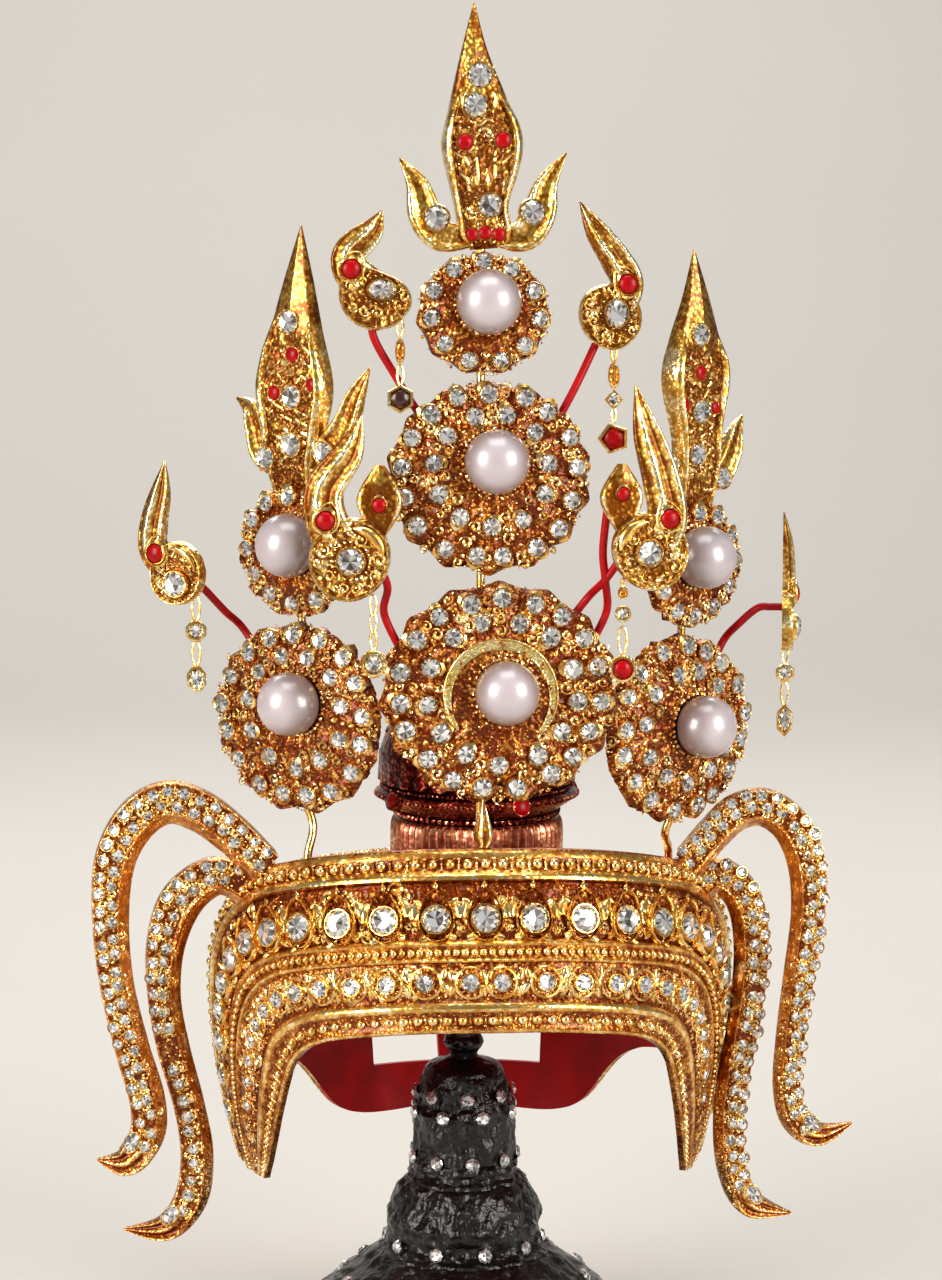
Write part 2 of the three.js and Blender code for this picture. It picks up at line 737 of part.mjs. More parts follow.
// ---------------------------------------------------------------- lid and topknot

function lidShare(x, y) {
  const grow = swell(LID.edgeTop) - BAND.wall - BAND.seat;
  return Math.hypot(x / (BAND.halfWidth + grow), y / (BAND.halfDepth + grow));
}

function lidTop(share) {
  const fall = Math.max(0, (share - LID.flatPart) / (1 - LID.flatPart));
  return THREE.MathUtils.lerp(LID.flatTop, LID.edgeTop, fall);
}

function lid() {
  const grow = swell(LID.edgeTop) - BAND.wall - BAND.seat;
  const ringAt = (share, sink) => Array.from({ length: LID.sides }, (_, k) => {
    const angle = (2 * Math.PI * k) / LID.sides;
    return new THREE.Vector3(
      share * (BAND.halfWidth + grow) * Math.sin(angle),
      -share * (BAND.halfDepth + grow) * Math.cos(angle),
      lidTop(share) - sink,
    );
  });
  const rings = [
    ringAt(LID.flatPart, 0),
    ringAt(1, 0),
    ringAt(1, LID.wall),
    ringAt(LID.flatPart, LID.wall),
  ];
  return loft(rings, topView(rings[0]), topView(rings[3]));
}

function lathe(profile, sides) {
  const points = profile.map(({ radius, height }) => new THREE.Vector2(radius, height));
  const closed = [new THREE.Vector2(0, points[0].y), ...points, new THREE.Vector2(0, points.at(-1).y)];
  return fromSolid(toSolid(new THREE.LatheGeometry(closed, sides).rotateX(Math.PI / 2)));
}

// ---------------------------------------------------------------- tower castings

// A rosette with its back on y = 0: a flat boss for the pearl, then rings of petals whose stones are
// low peaks, and a pointed edge. The rings' centres drift from the pearl to the rosette's centre.
function rosette({ radius, tall, petals, rings: ringCount, shift, lift }) {
  const rows = ringCount === 2
    ? [
      { share: 0.4, high: 4.8, low: 4.8 },
      { share: 0.6, high: 8, low: 4.4 },
      { share: 0.73, high: 4, low: 4 },
      { share: 0.86, high: 3.2, low: 6.6 },
    ]
    : [{ share: 0.8, high: 6.4, low: 3.4 }];
  const count = 2 * petals;
  const ringOf = (reach, depth) => Array.from({ length: count }, (_, k) => {
    const angle = (2 * Math.PI * k) / count;
    const away = reach(k);
    const drift = 1 - away / radius;
    const squash = THREE.MathUtils.lerp(tall, 1, drift);
    return new THREE.Vector3(
      shift * drift + away * Math.sin(angle), -depth(k), lift * drift + squash * away * Math.cos(angle),
    );
  });
  const edge = (k) => radius * (k % 2 === 0 ? 1 : 0.94);
  const rings = [ringOf(() => BOSS.radius, () => BOSS.height)];
  for (const { share, high, low } of rows) {
    rings.push(ringOf(() => Math.max(share * radius, BOSS.radius + 1.6), (k) => (k % 2 === 0 ? high : low)));
  }
  rings.push(ringOf(edge, () => 2));
  rings.push(ringOf(edge, () => 0));
  return loft(rings, frontView(rings[0]), frontView(rings.at(-1)));
}

// A pearl with a flat back at y = 0.
function pearl() {
  const rim = Math.sqrt(PEARL.radius ** 2 - (PEARL.radius - PEARL.sunk) ** 2);
  const start = Math.atan2(rim, -(PEARL.radius - PEARL.sunk));
  const profile = [{ radius: rim, height: 0 }];
  for (let i = 1; i < 5; i += 1) {
    const angle = start * (1 - i / 5);
    profile.push({
      radius: PEARL.radius * Math.sin(angle),
      height: PEARL.radius - PEARL.sunk + PEARL.radius * Math.cos(angle),
    });
  }
  return lathe(profile, PEARL.sides).rotateX(Math.PI / 2);
}

function spire({ body, flames }) {
  return join(leaf(body, 8), ...flames.map((flame) => leaf(flame, 5)));
}

// ---------------------------------------------------------------- kanok ornaments

function lobe(radius, x, z, grow) {
  const rings = [
    polygon(radius + grow, LOBE.sides, grow, x, z),
    polygon(radius + grow, LOBE.sides, -LOBE.edge - grow, x, z),
    polygon(radius * 0.84 + grow, LOBE.sides, -LOBE.top - grow, x, z),
  ];
  return loft(rings, frontView(rings[0]), frontView(rings[2]));
}

function kanok({ radius, neck, tip, bulge, second }, grow = 0) {
  const reach = (share, aside) => ({
    x: THREE.MathUtils.lerp(neck[0], tip[0], share) + aside,
    height: THREE.MathUtils.lerp(neck[1], tip[1], share),
  });
  const flame = leaf([
    { x: 0.3 * neck[0], height: 0.1 * radius, half: 0.6 * radius, depth: 2.4 },
    { x: neck[0], height: neck[1], half: 0.5 * radius, depth: 4.2 },
    { ...reach(0.3, bulge), half: 0.46 * radius, depth: 4.5 },
    { ...reach(0.65, 0), half: 0.34 * radius, depth: 3.4 },
    { x: tip[0], height: tip[1], half: 0.3, depth: 0.4 },
  ], 6, grow);
  const parts = [flame];
  if (second) {
    parts.push(leaf([
      { x: second.x, height: second.height - 1.5 * second.half, half: 0.3 * second.half, depth: 2 },
      { x: second.x, height: second.height, half: second.half, depth: 2.6 },
      { x: second.x, height: second.height + 1.5 * second.half, half: 0.2 * second.half, depth: 2 },
    ], 4, grow));
  }
  return join(lobe(radius, 0, 0, grow), ...parts);
}

// A cut stone with a flat back at y = 0.
function gem(radius, sides) {
  const rings = [
    polygon(radius * 0.84, sides, 0),
    polygon(radius, sides, -GEMS.height * 0.4),
    polygon(radius * 0.55, sides, -GEMS.height),
  ];
  return loft(rings, frontView(rings[0]), frontView(rings[2]));
}

function drop(links, x, y) {
  const rings = links.map(({ height, half }) => {
    const depth = Math.min(half, DROP.depth);
    return Array.from({ length: DROP.sides }, (_, k) => {
      const angle = (2 * Math.PI * k) / DROP.sides;
      return new THREE.Vector3(x + half * Math.sin(angle), y - depth * Math.cos(angle), height);
    });
  });
  return loft(rings, topView(rings[0]), topView(rings.at(-1)));
}

// ---------------------------------------------------------------- side arms

// A flat-backed bar whose front carries two rows of stones, each a low peak.
function arm({ y, line }) {
  const at = follow(line, 'x', 'height', 'half');
  const steps = 2 * ARM.stones;
  const rings = [];
  for (let i = 0; i <= steps; i += 1) {
    const station = ((line.length - 1) * i) / steps;
    const here = at(station);
    const before = at(station - 0.05);
    const after = at(station + 0.05);
    const run = new THREE.Vector2(after.x - before.x, after.height - before.height).normalize();
    const plain = Math.min(1, Math.abs(here.half) / 5);
    const peak = ARM.stoneRise * (i % 2) * plain;
    const deep = ARM.thickness * plain;
    const high = deep + peak;
    const section = [[-1, 0], [-1, deep], [-0.5, high], [0, deep], [0.5, high], [1, deep], [1, 0]];
    rings.push(section.map(([across, depth]) => new THREE.Vector3(
      here.x + across * here.half * run.y,
      y + ARM.thickness / 2 - depth,
      here.height - across * here.half * run.x,
    )));
  }
  const contour = [[-1, 0], [-1, 1], [-0.5, 1.01], [0, 1], [0.5, 1.01], [1, 1], [1, 0]];
  return loft(rings, contour.map(([across, depth]) => new THREE.Vector2(across, depth)));
}

// ---------------------------------------------------------------- the crown

const crown = new THREE.Group();

function add(parent, name, geometry, material, x = 0, y = 0, z = 0) {
  const mesh = new THREE.Mesh(geometry, material);
  mesh.name = name;
  mesh.position.set(x, y, z);
  parent.add(mesh);
  return mesh;
}

// A group that stands at x, y and height and faces the way of turn.
function turned(x, y, height, turn) {
  const group = new THREE.Group();
  group.position.set(x, y, height);
  group.rotation.z = degrees(turn);
  group.updateMatrix();
  crown.add(group);
  return group;
}

add(crown, 'face_frame', frontlet(), gold());
add(crown, 'back_band', backBand(), gold());
add(crown, 'crown_lid', lid(), gold());
const collar = lathe(COLLAR_PROFILE, COLLAR.sides);
add(crown, 'topknot_collar', collar, redGold(), COLLAR.x, COLLAR.y, LID.flatTop + GAP);

const rimTop = frontletPoint(0, 0, 0.2 - BAND.wall / 2);
const rimFlame = [
  { x: 0, height: 0, half: 2, depth: 2 },
  { x: 0, height: 4, half: 3.5, depth: 3 },
  { x: 0, height: 9, half: 2.4, depth: 2.4 },
  { x: 0, height: 16.5, half: 0.3, depth: 0.4 },
];
add(crown, 'rim_flame', leaf(rimFlame, 6), gold(), rimTop.x, rimTop.y + 1, rimTop.z + GAP);

const frontletClearance = [frontlet(GAP), frontletStrip(GAP, ARM.reach)];
for (const [name, row] of Object.entries(ARMS)) {
  add(crown, `arm_${name}`, cut(arm(row), ...frontletClearance), gold());
}

const towers = Object.fromEntries(Object.entries(TOWERS).map(([name, { x, y, turn }]) => (
  [name, turned(x, y, 0, turn)]
)));
for (const row of ROSETTES) {
  const tower = towers[row.tower];
  add(tower, `rosette_${row.tower}_${row.level}`, rosette(row), gold(), row.x, 0, row.height);
  const seat = [row.x + row.shift, -BOSS.height - GAP, row.height + row.lift];
  add(tower, `pearl_${row.tower}_${row.level}`, pearl(), pearlWhite(), ...seat);
}
for (const [name, row] of Object.entries(SPIRES)) {
  add(towers[name], `spire_${name}`, spire(row), gold());
}

// A world point on a group's own axes, a wire's or rod's clearance behind its back plane.
function behind(group, [x, height], radius) {
  return new THREE.Vector3(x, GAP + radius, height).applyMatrix4(group.matrix).toArray();
}

for (const [name, { foot, route, top, straightFrom }] of Object.entries(RODS)) {
  const bottom = [...foot, lidTop(lidShare(...foot)) + 2 * GAP];
  const straight = [0, 0.15, 1].map((share) => (
    behind(towers[name], [top[0], THREE.MathUtils.lerp(straightFrom, top[1], share)], ROD.radius)
  ));
  add(crown, `rod_${name}`, tube([bottom, ...route, ...straight], ROD.radius, ROD.sides), gold());
}

for (const [name, row] of Object.entries(KANOKS)) {
  const holder = turned(row.x, row.y, row.height, row.turn);
  add(holder, `kanok_${name}`, kanok(row), gold());
  add(holder, `white_stone_${name}`, gem(GEMS.white, 7), crystal(), 0, -LOBE.top - GAP, 0);
  add(holder, `red_stone_${name}`, gem(GEMS.red, 6), redGlass(), row.neck[0], -4.4 - GAP, row.neck[1]);
  const wire = WIRES[name];
  const root = wire.stub
    ? [behind(holder, wire.start, 0), behind(holder, wire.start, wire.stub)]
    : [behind(holder, wire.start, WIRE.radius)];
  const end = behind(towers[wire.tower], wire.end, WIRE.radius);
  let wireShape = tube([...root, ...wire.route, end], WIRE.radius, WIRE.sides);
  if (name === 'front_right') {
    const otherStart = behind(holder, CROSSED_WIRE.start, WIRE.radius);
    const otherEnd = behind(towers.centre, CROSSED_WIRE.end, WIRE.radius);
    wireShape = join(wireShape, tube([otherStart, ...CROSSED_WIRE.route, otherEnd], WIRE.radius, WIRE.sides));
  }
  add(crown, `wire_${name}`, wireShape, redLacquer());
  const clearance = kanok(row, GAP).applyMatrix4(holder.matrix);
  const { x, y, links } = DROPS[name];
  add(crown, `drop_${name}`, cut(drop(links, x, y), clearance), gold());
}

add(crown, 'display_stand', lathe(STAND_PROFILE, STAND.sides), blackLacquer(), STAND.x, 0, 0);

export default crown;
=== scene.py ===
"""Looks of an apsara dancer's gilded crown, with its pearls, cut stones and trembling ornaments, on
a turned black stand. Shapes are made in millimetres and pieces are brought to metres at their end.
"""

import math
import random

import bmesh
import bpy
from mathutils import Matrix, Vector, noise


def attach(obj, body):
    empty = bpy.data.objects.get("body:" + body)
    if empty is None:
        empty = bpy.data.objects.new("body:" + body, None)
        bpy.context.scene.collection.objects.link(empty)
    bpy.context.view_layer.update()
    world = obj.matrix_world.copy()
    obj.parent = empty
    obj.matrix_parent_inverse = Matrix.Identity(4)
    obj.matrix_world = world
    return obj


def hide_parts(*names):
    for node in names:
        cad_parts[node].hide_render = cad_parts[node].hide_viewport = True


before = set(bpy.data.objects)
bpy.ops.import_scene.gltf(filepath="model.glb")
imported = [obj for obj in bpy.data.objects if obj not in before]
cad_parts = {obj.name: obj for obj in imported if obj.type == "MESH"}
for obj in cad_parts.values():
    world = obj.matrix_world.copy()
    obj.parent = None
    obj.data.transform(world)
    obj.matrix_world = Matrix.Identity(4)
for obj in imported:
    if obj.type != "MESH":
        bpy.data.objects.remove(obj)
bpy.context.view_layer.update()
scene = bpy.context.scene
chance = random.Random(7)

MM = 0.001  # metres in a millimetre
FULL = 2 * math.pi
FRONT = Vector((0, -1, 0))
UP = Vector((0, 0, 1))


def table(columns, *rows):
    """Rows of numbers with named columns."""
    return [dict(zip(columns.split(), row)) for row in rows]


# ---------------------------------------------------------------- sizes, millimetres and degrees

# The wall round the head is a barrel: widest is the height where it is, and the bows are the radii
# by which it draws in above and below. Seat is the gap between the frontlet and what lies inside.
BAND = {"half_width": 95, "half_depth": 94, "widest": 152, "upper_bow": 105, "lower_bow": 230,
        "wall": 2.2, "seat": 0.8}
LID = {"flat_top": 191, "edge_top": 181, "flat_part": 0.45, "wall": 2, "gap": 0.3}
BACK = {"wall": 2, "end": 104}
ARM = {"thickness": 7, "stone": 2.1, "pitch": 6.0, "hook_from": 0.88}
WIRE_RADIUS = 1.4
ROD_RADIUS = 1.5
PEARL = {"radius": 10.6, "sunk": 5.6, "seat": 6.6}
GEM = {"white": 5.1, "red": 3.4}
CLEARANCE = 0.3
STAND_X = -2
COLLAR = {"x": 2, "y": -12, "flutes": 60}

FRONTLET = table(
    "outer_angle outer_height inner_angle inner_height",
    (0, 211, 0, 150),
    (18, 210, 12, 149.5),
    (36, 207, 23, 147.5),
    (53, 202, 33, 144.5),
    (68, 195, 40, 140),
    (79, 183, 44.5, 133),
    (86, 165, 47, 125),
    (88.5, 145, 50, 115),
    (89, 122, 54, 103),
    (87, 100, 58.5, 92.5),
    (81, 85, 63.5, 84),
)
# From the rim (across = 0) to the arch (across = 1). Hollow is how deep the red-brown painted shade
# lies.
MOULDINGS = table(
    "across lift hollow",
    (0.0, 0.1, 0.4),
    (0.01, 0.5, 0.25),
    (0.03, 0.5, 0.3),
    (0.042, 0.5, 0.4),
    (0.075, 0.1, 0.55),
    (0.11, 0.3, 0.4),
    (0.125, 1.2, 0.1),
    (0.14, 1.7, 0.0),
    (0.155, 1.4, 0.0),
    (0.168, 0.0, 0.5),
    (0.18, -0.9, 0.7),
    (0.47, -0.9, 0.7),
    (0.485, 0.3, 0.3),
    (0.497, 0.8, 0.15),
    (0.51, 0.3, 0.3),
    (0.545, 0.0, 0.5),
    (0.58, 0.3, 0.3),
    (0.588, 0.8, 0.05),
    (0.597, 0.5, 0.1),
    (0.61, -0.5, 0.4),
    (0.81, -0.5, 0.6),
    (0.828, 0.3, 0.3),
    (0.842, 1.1, 0.0),
    (0.857, 1.3, 0.0),
    (0.872, 1.0, 0.0),
    (0.885, 0.0, 0.4),
    (0.93, -0.5, 0.6),
    (0.972, -0.1, 0.35),
    (0.982, 0.6, 0.1),
    (0.993, 0.5, 0.1),
    (1.0, 0.1, 0.3),
)
# The chased fields of the strip, by where they start and end across it and how many cuts they have.
FIELDS = table("first last cuts", (0.18, 0.47, 18), (0.61, 0.81, 13))
BEAD_ROWS = table("across radius pitch lift", (0.077, 1.9, 6.0, 0.8), (0.545, 1.4, 3.1, 0.6),
                  (0.93, 1.9, 5.2, -0.8))
FRONTLET_STONES = table(
    "across radius per_side first pitch",
    (0.375, 4.9, 13, 0, 0.71),
    (0.715, 3.1, 13, 0.31, 0.62),
)
BACK_EDGE = table(
    "angle height",
    (0, 82), (14, 79), (28, 79), (37, 84), (46, 101), (54, 108), (66, 111), (85, 114), (104, 117),
)
WINDOWS = table(
    "angle sill width height",
    (14, 96, 27, 36), (38, 111, 20, 34), (64, 124, 22, 30),
    (-14, 96, 27, 36), (-38, 111, 20, 34), (-64, 124, 22, 30),
)
# Each tower's middle and how it is turned. Rosettes and spires are given in its own axes.
TOWERS = {
    "centre": {"x": 0, "y": -65, "turn": 0},
    "left": {"x": -62.5, "y": -40, "turn": -38},
    "right": {"x": 74.5, "y": -37, "turn": 38},
}
# Tall is height over width, shift and lift are the pearl's offset, inner and outer are how many
# stones each ring has, and inner_at and outer_at are the rings' shares of the radius.
ROSETTES = table(
    "tower level x height radius tall petals shift lift inner inner_at outer outer_at stone",
    ("centre", "low", 6, 263.5, 42.5, 0.93, 15, 2.3, 1.2, 13, 0.61, 19, 0.82, 3.6),
    ("centre", "middle", 2.4, 337.7, 36, 0.94, 14, 2.3, 6.5, 11, 0.55, 17, 0.83, 3.4),
    ("centre", "top", 0.6, 393.9, 24, 0.9, 11, 1.3, 4.4, 0, 0, 11, 0.76, 3.1),
    ("left", "low", 0.5, 251.7, 37, 0.93, 13, 3.6, 6.4, 11, 0.56, 17, 0.83, 3.3),
    ("left", "middle", 0, 310.3, 25, 0.95, 11, 3.8, 3.4, 0, 0, 12, 0.78, 3.1),
    ("right", "low", -5.8, 247, 36, 0.95, 13, 5, 1, 11, 0.57, 17, 0.83, 3.3),
    ("right", "middle", 1.5, 304.6, 24, 0.95, 11, -3.4, 3.6, 0, 0, 12, 0.78, 3.1),
)
# How many flecks (scrolls and leaflets) and grains are strewn in each place.
COUNTS = {"frontlet_flecks": 230, "frontlet_grains": 1300, "spire_flecks": 110, "wound_strokes": 22,
          "arm_grains": 420, "flecks_per_arm_stone": 4, "lobe_flecks": 15}
LEAF_COLUMNS = "x height half depth"
SPIRES = {
    "centre": {
        "body": table(
            LEAF_COLUMNS,
            (2, 416, 6, 3), (1.6, 421, 9, 5), (0, 430.8, 9.4, 6), (0.3, 450.8, 14, 8),
            (-1.1, 465.8, 9.8, 7), (-2.4, 482.5, 4.5, 4.5), (-2.4, 498.3, 0.3, 0.4),
        ),
        "flames": [
            table(LEAF_COLUMNS, (-3, 420, 3.5, 3), (-13.5, 420.5, 5.6, 4.5), (-19, 427.5, 6, 4.6),
                  (-22, 438, 3.8, 3), (-27.8, 446.5, 0.3, 0.4)),
            table(LEAF_COLUMNS, (5, 420, 3.5, 3), (14.5, 420.5, 5.6, 4.5), (19.5, 428, 6, 4.6),
                  (22.5, 438.5, 3.8, 3), (29, 448.3, 0.3, 0.4)),
        ],
        "white": table("x height radius", (-0.8, 474.1, 4.2), (-2.2, 464.1, 4.2), (2.6, 430.7, 4.2),
                       (-15.4, 426.4, 4.3), (17.2, 428.4, 4.3)),
        "red": table("x height radius", (-5.9, 451.8, 2.9), (7, 452.5, 2.9), (-3.4, 420.9, 2.4),
                     (1.2, 421.4, 2.4), (5.8, 420.9, 2.4)),
        "strokes": [
            ((-2.8, 452.4), (-0.8, 455.4), (0.8, 456.7), (2.4, 455.4), (4.4, 452.4)),
            ((-2.7, 449.4), (-1.8, 443.6), (-1.2, 438)), ((4.5, 449.4), (4.2, 443.6), (4.6, 438)),
            ((1.7, 442), (1.8, 439), (1.9, 436)),
            ((-9.8, 448.4), (-6.2, 446.6), (-3.6, 442.6)),
            ((11, 448.4), (8.2, 446.2), (5.8, 442.4)),
            ((-8, 442), (-5, 439.2), (-4.4, 434)), ((10.2, 442), (7.8, 438.8), (7.2, 434)),
            ((-4.6, 470.6), (-6.6, 465.4), (-5.6, 460.4)), ((3, 470.2), (4.4, 465.4), (3.2, 460.4)),
            ((-4, 459), (-1, 457.6), (1.6, 459.4), (4, 458.4)),
        ],
    },
    "left": {
        "body": table(
            LEAF_COLUMNS,
            (-0.5, 330.5, 8.5, 3.2), (-1, 342, 10.4, 6), (0, 353.2, 12.8, 7.5), (1, 369, 15.2, 8.5),
            (1.2, 388, 10.4, 7.5), (1.8, 405.2, 5.8, 5), (2.2, 423.8, 0.3, 0.4),
        ),
        "flames": [
            table(LEAF_COLUMNS, (-2, 340, 3, 3), (-12, 344, 5.6, 4.5), (-16, 354, 5, 4.4),
                  (-20, 360.5, 3.2, 3), (-26.7, 363.7, 0.3, 0.4)),
            table(LEAF_COLUMNS, (2, 341, 3, 3), (13, 345, 5.6, 4.5), (21.5, 354.5, 5, 4.4),
                  (26.5, 366, 3.4, 3), (31.5, 375.5, 0.3, 0.4)),
        ],
        "white": table("x height radius", (0.7, 390.8, 4.2), (2.2, 364.9, 4.2), (-10.7, 343.3, 4),
                       (1.6, 348.3, 4.2), (14.6, 346, 4)),
        "red": table("x height radius", (2.3, 379.4, 2.9), (11, 369.3, 2.5), (-5.2, 366.2, 2.7)),
    },
    "right": {
        "body": table(
            LEAF_COLUMNS,
            (2.5, 324, 8, 3.2), (3, 338, 9.8, 6), (2.5, 352, 10.5, 7), (1.5, 370, 14.2, 8.5),
            (2.2, 383, 11.6, 7.5), (3, 398.1, 6, 5), (3, 415.5, 0.3, 0.4),
        ),
        "flames": [
            table(LEAF_COLUMNS, (1, 331, 2.5, 3), (-10, 334, 4.4, 4.5), (-15.5, 344, 4.4, 4.4),
                  (-19, 352, 2.4, 3), (-22, 355, 0.3, 0.4)),
            table(LEAF_COLUMNS, (4, 333, 3, 3), (14, 336, 5, 4.5), (20, 344, 4.8, 4.4),
                  (23.5, 351, 3, 3), (28.2, 356.8, 0.3, 0.4)),
        ],
        "white": table("x height radius", (0.8, 385.9, 4), (1.6, 359, 4.2), (0.8, 343.9, 4),
                       (-12.4, 341, 3.8), (14.1, 335, 3.8)),
        "red": table("x height radius", (0.4, 372.7, 2.7), (-7.2, 361.7, 2.5), (9.1, 360.4, 2.5)),
    },
}
# The arms' middle lines, from the wall to the hook's tip.
ARM_COLUMNS = "x height half"
ARMS = {
    "left_outer": {"y": -40, "line": table(
        ARM_COLUMNS,
        (-66, 188, 7), (-77, 200, 7), (-87, 210, 7.4), (-97.5, 218, 7.8), (-109, 221.5, 8),
        (-120, 215.5, 8), (-128, 201, 7.4), (-129.9, 180, 6.6), (-128, 156, 6.1),
        (-122.8, 132.5, 6.2), (-117.8, 114, 6.4), (-118, 101, 6.4), (-125.5, 91.5, 5.4),
        (-135.8, 91.8, 0.5))},
    "left_inner": {"y": -31.5, "line": table(
        ARM_COLUMNS,
        (-76, 184, 6.5), (-88, 192.5, 7), (-97, 191.5, 7.6), (-106, 182.5, 8), (-111, 167, 7),
        (-111.5, 149, 6), (-108.6, 131, 5.9), (-103, 109, 5.6), (-100.4, 90.5, 6), (-103, 74, 6.2),
        (-112.2, 64.2, 4.8), (-127, 63.4, 0.5))},
    "right_outer": {"y": -40, "line": table(
        ARM_COLUMNS,
        (66, 186, 6.5), (77.3, 198.2, 6.5), (85.5, 208, 6.5), (94, 215.6, 6.8), (104, 217, 7),
        (113.5, 210, 7), (119, 196.5, 6.8), (119.6, 178.3, 6), (116.5, 154.5, 5.5),
        (113.8, 132.5, 5.2), (112.8, 114, 5), (116.8, 102, 5.6), (125, 97, 4.2),
        (137, 100.5, 0.5))},
    "right_inner": {"y": -31.5, "line": table(
        ARM_COLUMNS,
        (76, 182, 6), (87, 190.6, 6.4), (95, 186.5, 6.8), (99.6, 176, 6.6), (100.5, 159.5, 6.2),
        (98.4, 139.5, 6), (94.6, 117.5, 5.8), (92.9, 98.5, 5.6), (94.6, 81, 5.4), (101.5, 69, 5),
        (116.5, 64.6, 0.5))},
}
# The trembling ornaments. Neck and tip are where the main flame starts and ends, and bulge how far
# it bends aside. Flat is the angle and the share by which the lobe is flattened. Gem is the clear
# stone's place, width and height, second a small flame's place and half width, crest the angles
# between which the border swells, and red the red stone's place where that isn't the neck.
KANOKS = {
    "upper_left": {"at": (-35.7, -60, 401), "turn": 0, "radius": 12.8, "neck": (-8.6, 8.2),
                   "tip": (2.2, 28), "bulge": -3, "flat": (22, 0.42), "gem": (1.8, 1.3, 1.0, 0.74)},
    "upper_right": {"at": (44, -60, 392.4), "turn": 0, "radius": 11.6, "neck": (6.4, 11.6),
                    "tip": (-9.8, 39.5), "bulge": 1, "flat": (-122, 0.16),
                    "gem": (2.6, 1.6, 0.82, 1.04)},
    "far_left": {"at": (-104.6, -36, 303), "turn": -30, "radius": 11.4, "neck": (-9.4, 8),
                 "tip": (-5, 39), "bulge": -1, "flat": (-75, 0.14), "gem": (1.4, -3.6, 0.95, 0.95),
                 "crest": (-15, 80), "red": (-6.5, 6.8)},
    "far_right": {"at": (110.4, -30, 283.6), "turn": 80, "radius": 10.8, "neck": (8.4, 9),
                  "tip": (3, 39), "bulge": 1, "flat": (60, 0.14), "gem": (-1.4, -2, 0.95, 0.95)},
    "front_left": {"at": (-44.7, -75, 310.8), "turn": -8, "radius": 14.7, "neck": (-8.5, 13.7),
                   "tip": (3.6, 49.4), "bulge": -4, "second": (9.6, 20.5, 8), "flat": (120, 0.12),
                   "gem": (0, 0, 1.0, 1.0), "crest": (5, 80)},
    "front_right": {"at": (56.6, -75, 313), "turn": 8, "radius": 14, "neck": (6.5, 11.6),
                    "tip": (-4.8, 57), "bulge": 1, "second": (-9.5, 19, 7.6), "flat": (-130, 0.12),
                    "gem": (-0.6, 0, 0.95, 0.95), "crest": (-85, -5)},
}
# The ornaments' wires, from a point of the ornament's back by way of a route to one of the tower's.
WIRES = {
    "upper_left": {"start": (-1, -6), "tower": "centre", "end": (-14, 350),
                   "route": [(-36.5, -58.3, 386), (-29, -58, 372.5), (-22.5, -58.6, 362)]},
    "upper_right": {"start": (-2, -4), "tower": "centre", "end": (25, 355),
                    "route": [(39.8, -58.3, 383), (32.5, -62, 368.5)]},
    "far_left": {"start": (3, -2), "stub": 4, "tower": "left", "end": (-15, 268),
                 "route": [(-95.3, -30, 296), (-88.5, -25.5, 288), (-82, -20.5, 281)]},
    "far_right": {"start": (0, 5), "stub": 4, "tower": "right", "end": (13, 263),
                  "route": [(101.8, -28, 288), (95.6, -24.5, 282), (90.5, -20, 275)]},
    "front_left": {"start": (9, -2), "tower": "centre", "end": (-27, 277),
                   "route": [(-32.5, -71.5, 301), (-33.4, -64.6, 291)]},
    "front_right": {"start": (-7.5, 0), "tower": "centre", "end": (27, 283),
                    "route": [(42.4, -70.8, 303), (37, -63.6, 296)]},
}
CROSSED_WIRE = {"start": (-13.5, 19), "end": (37, 278),
                "route": [(41.4, -72.6, 314), (42.4, -70.8, 303), (43.6, -63.6, 291)]}
# The rods, from the lid by way of a route to straight_from, and from there straight up the tower.
RODS = {
    "centre": {"foot": (3, -63.2), "straight_from": 215, "top": (0, 426), "route": []},
    "left": {"foot": (-60, -44), "straight_from": 226, "top": (0, 352),
             "route": [(-60, -43.5, 202), (-58, -40.6, 213)]},
    "right": {"foot": (70, -30), "straight_from": 224, "top": (0, 348),
              "route": [(70, -30.5, 201), (68, -37.5, 209)]},
}


# ---------------------------------------------------------------- shaping tools


def mix(a, b, share):
    """What lies a share of the way from a to b."""
    return a + (b - a) * share


def ease(low, high, value):
    """Rises smoothly from 0 at low to 1 at high."""
    share = min(1, max(0, (value - low) / (high - low)))
    return share * share * (3 - 2 * share)


def turns(count, phase=0.0):
    """Angles evenly round a circle."""
    return [FULL * (k + phase) / count for k in range(count)]


def circle(count, reach=1.0, phase=0.0):
    """Points evenly round a circle, from its top on."""
    return [(reach * math.sin(angle), reach * math.cos(angle)) for angle in turns(count, phase)]


def out_at(angle, rise=0.0):
    """The way out from the z axis, with a rise. Angle is from the front, towards +x."""
    return Vector((math.sin(angle), -math.cos(angle), rise))


def follow(rows, station, *columns):
    """Values of named columns on a smooth curve through a table's rows."""
    last = len(rows) - 1
    station = min(max(station, 0), last)
    i = min(int(station), last - 1)
    t = station - i
    near = [rows[max(i - 1, 0)], rows[i], rows[i + 1], rows[min(i + 2, last)]]
    values = []
    for column in columns:
        a, b, c, d = (row[column] for row in near)
        bend = (2 * a - 5 * b + 4 * c - d) * t * t + (3 * b - a - 3 * c + d) * t ** 3
        values.append(b + ((c - a) * t + bend) / 2)
    return values


def smooth_path(points, steps):
    """Points on a smooth curve through a few given points."""
    rows = [dict(zip("xyz", point)) for point in points]
    last = len(rows) - 1
    return [Vector(follow(rows, last * i / steps, "x", "y", "z")) for i in range(steps + 1)]


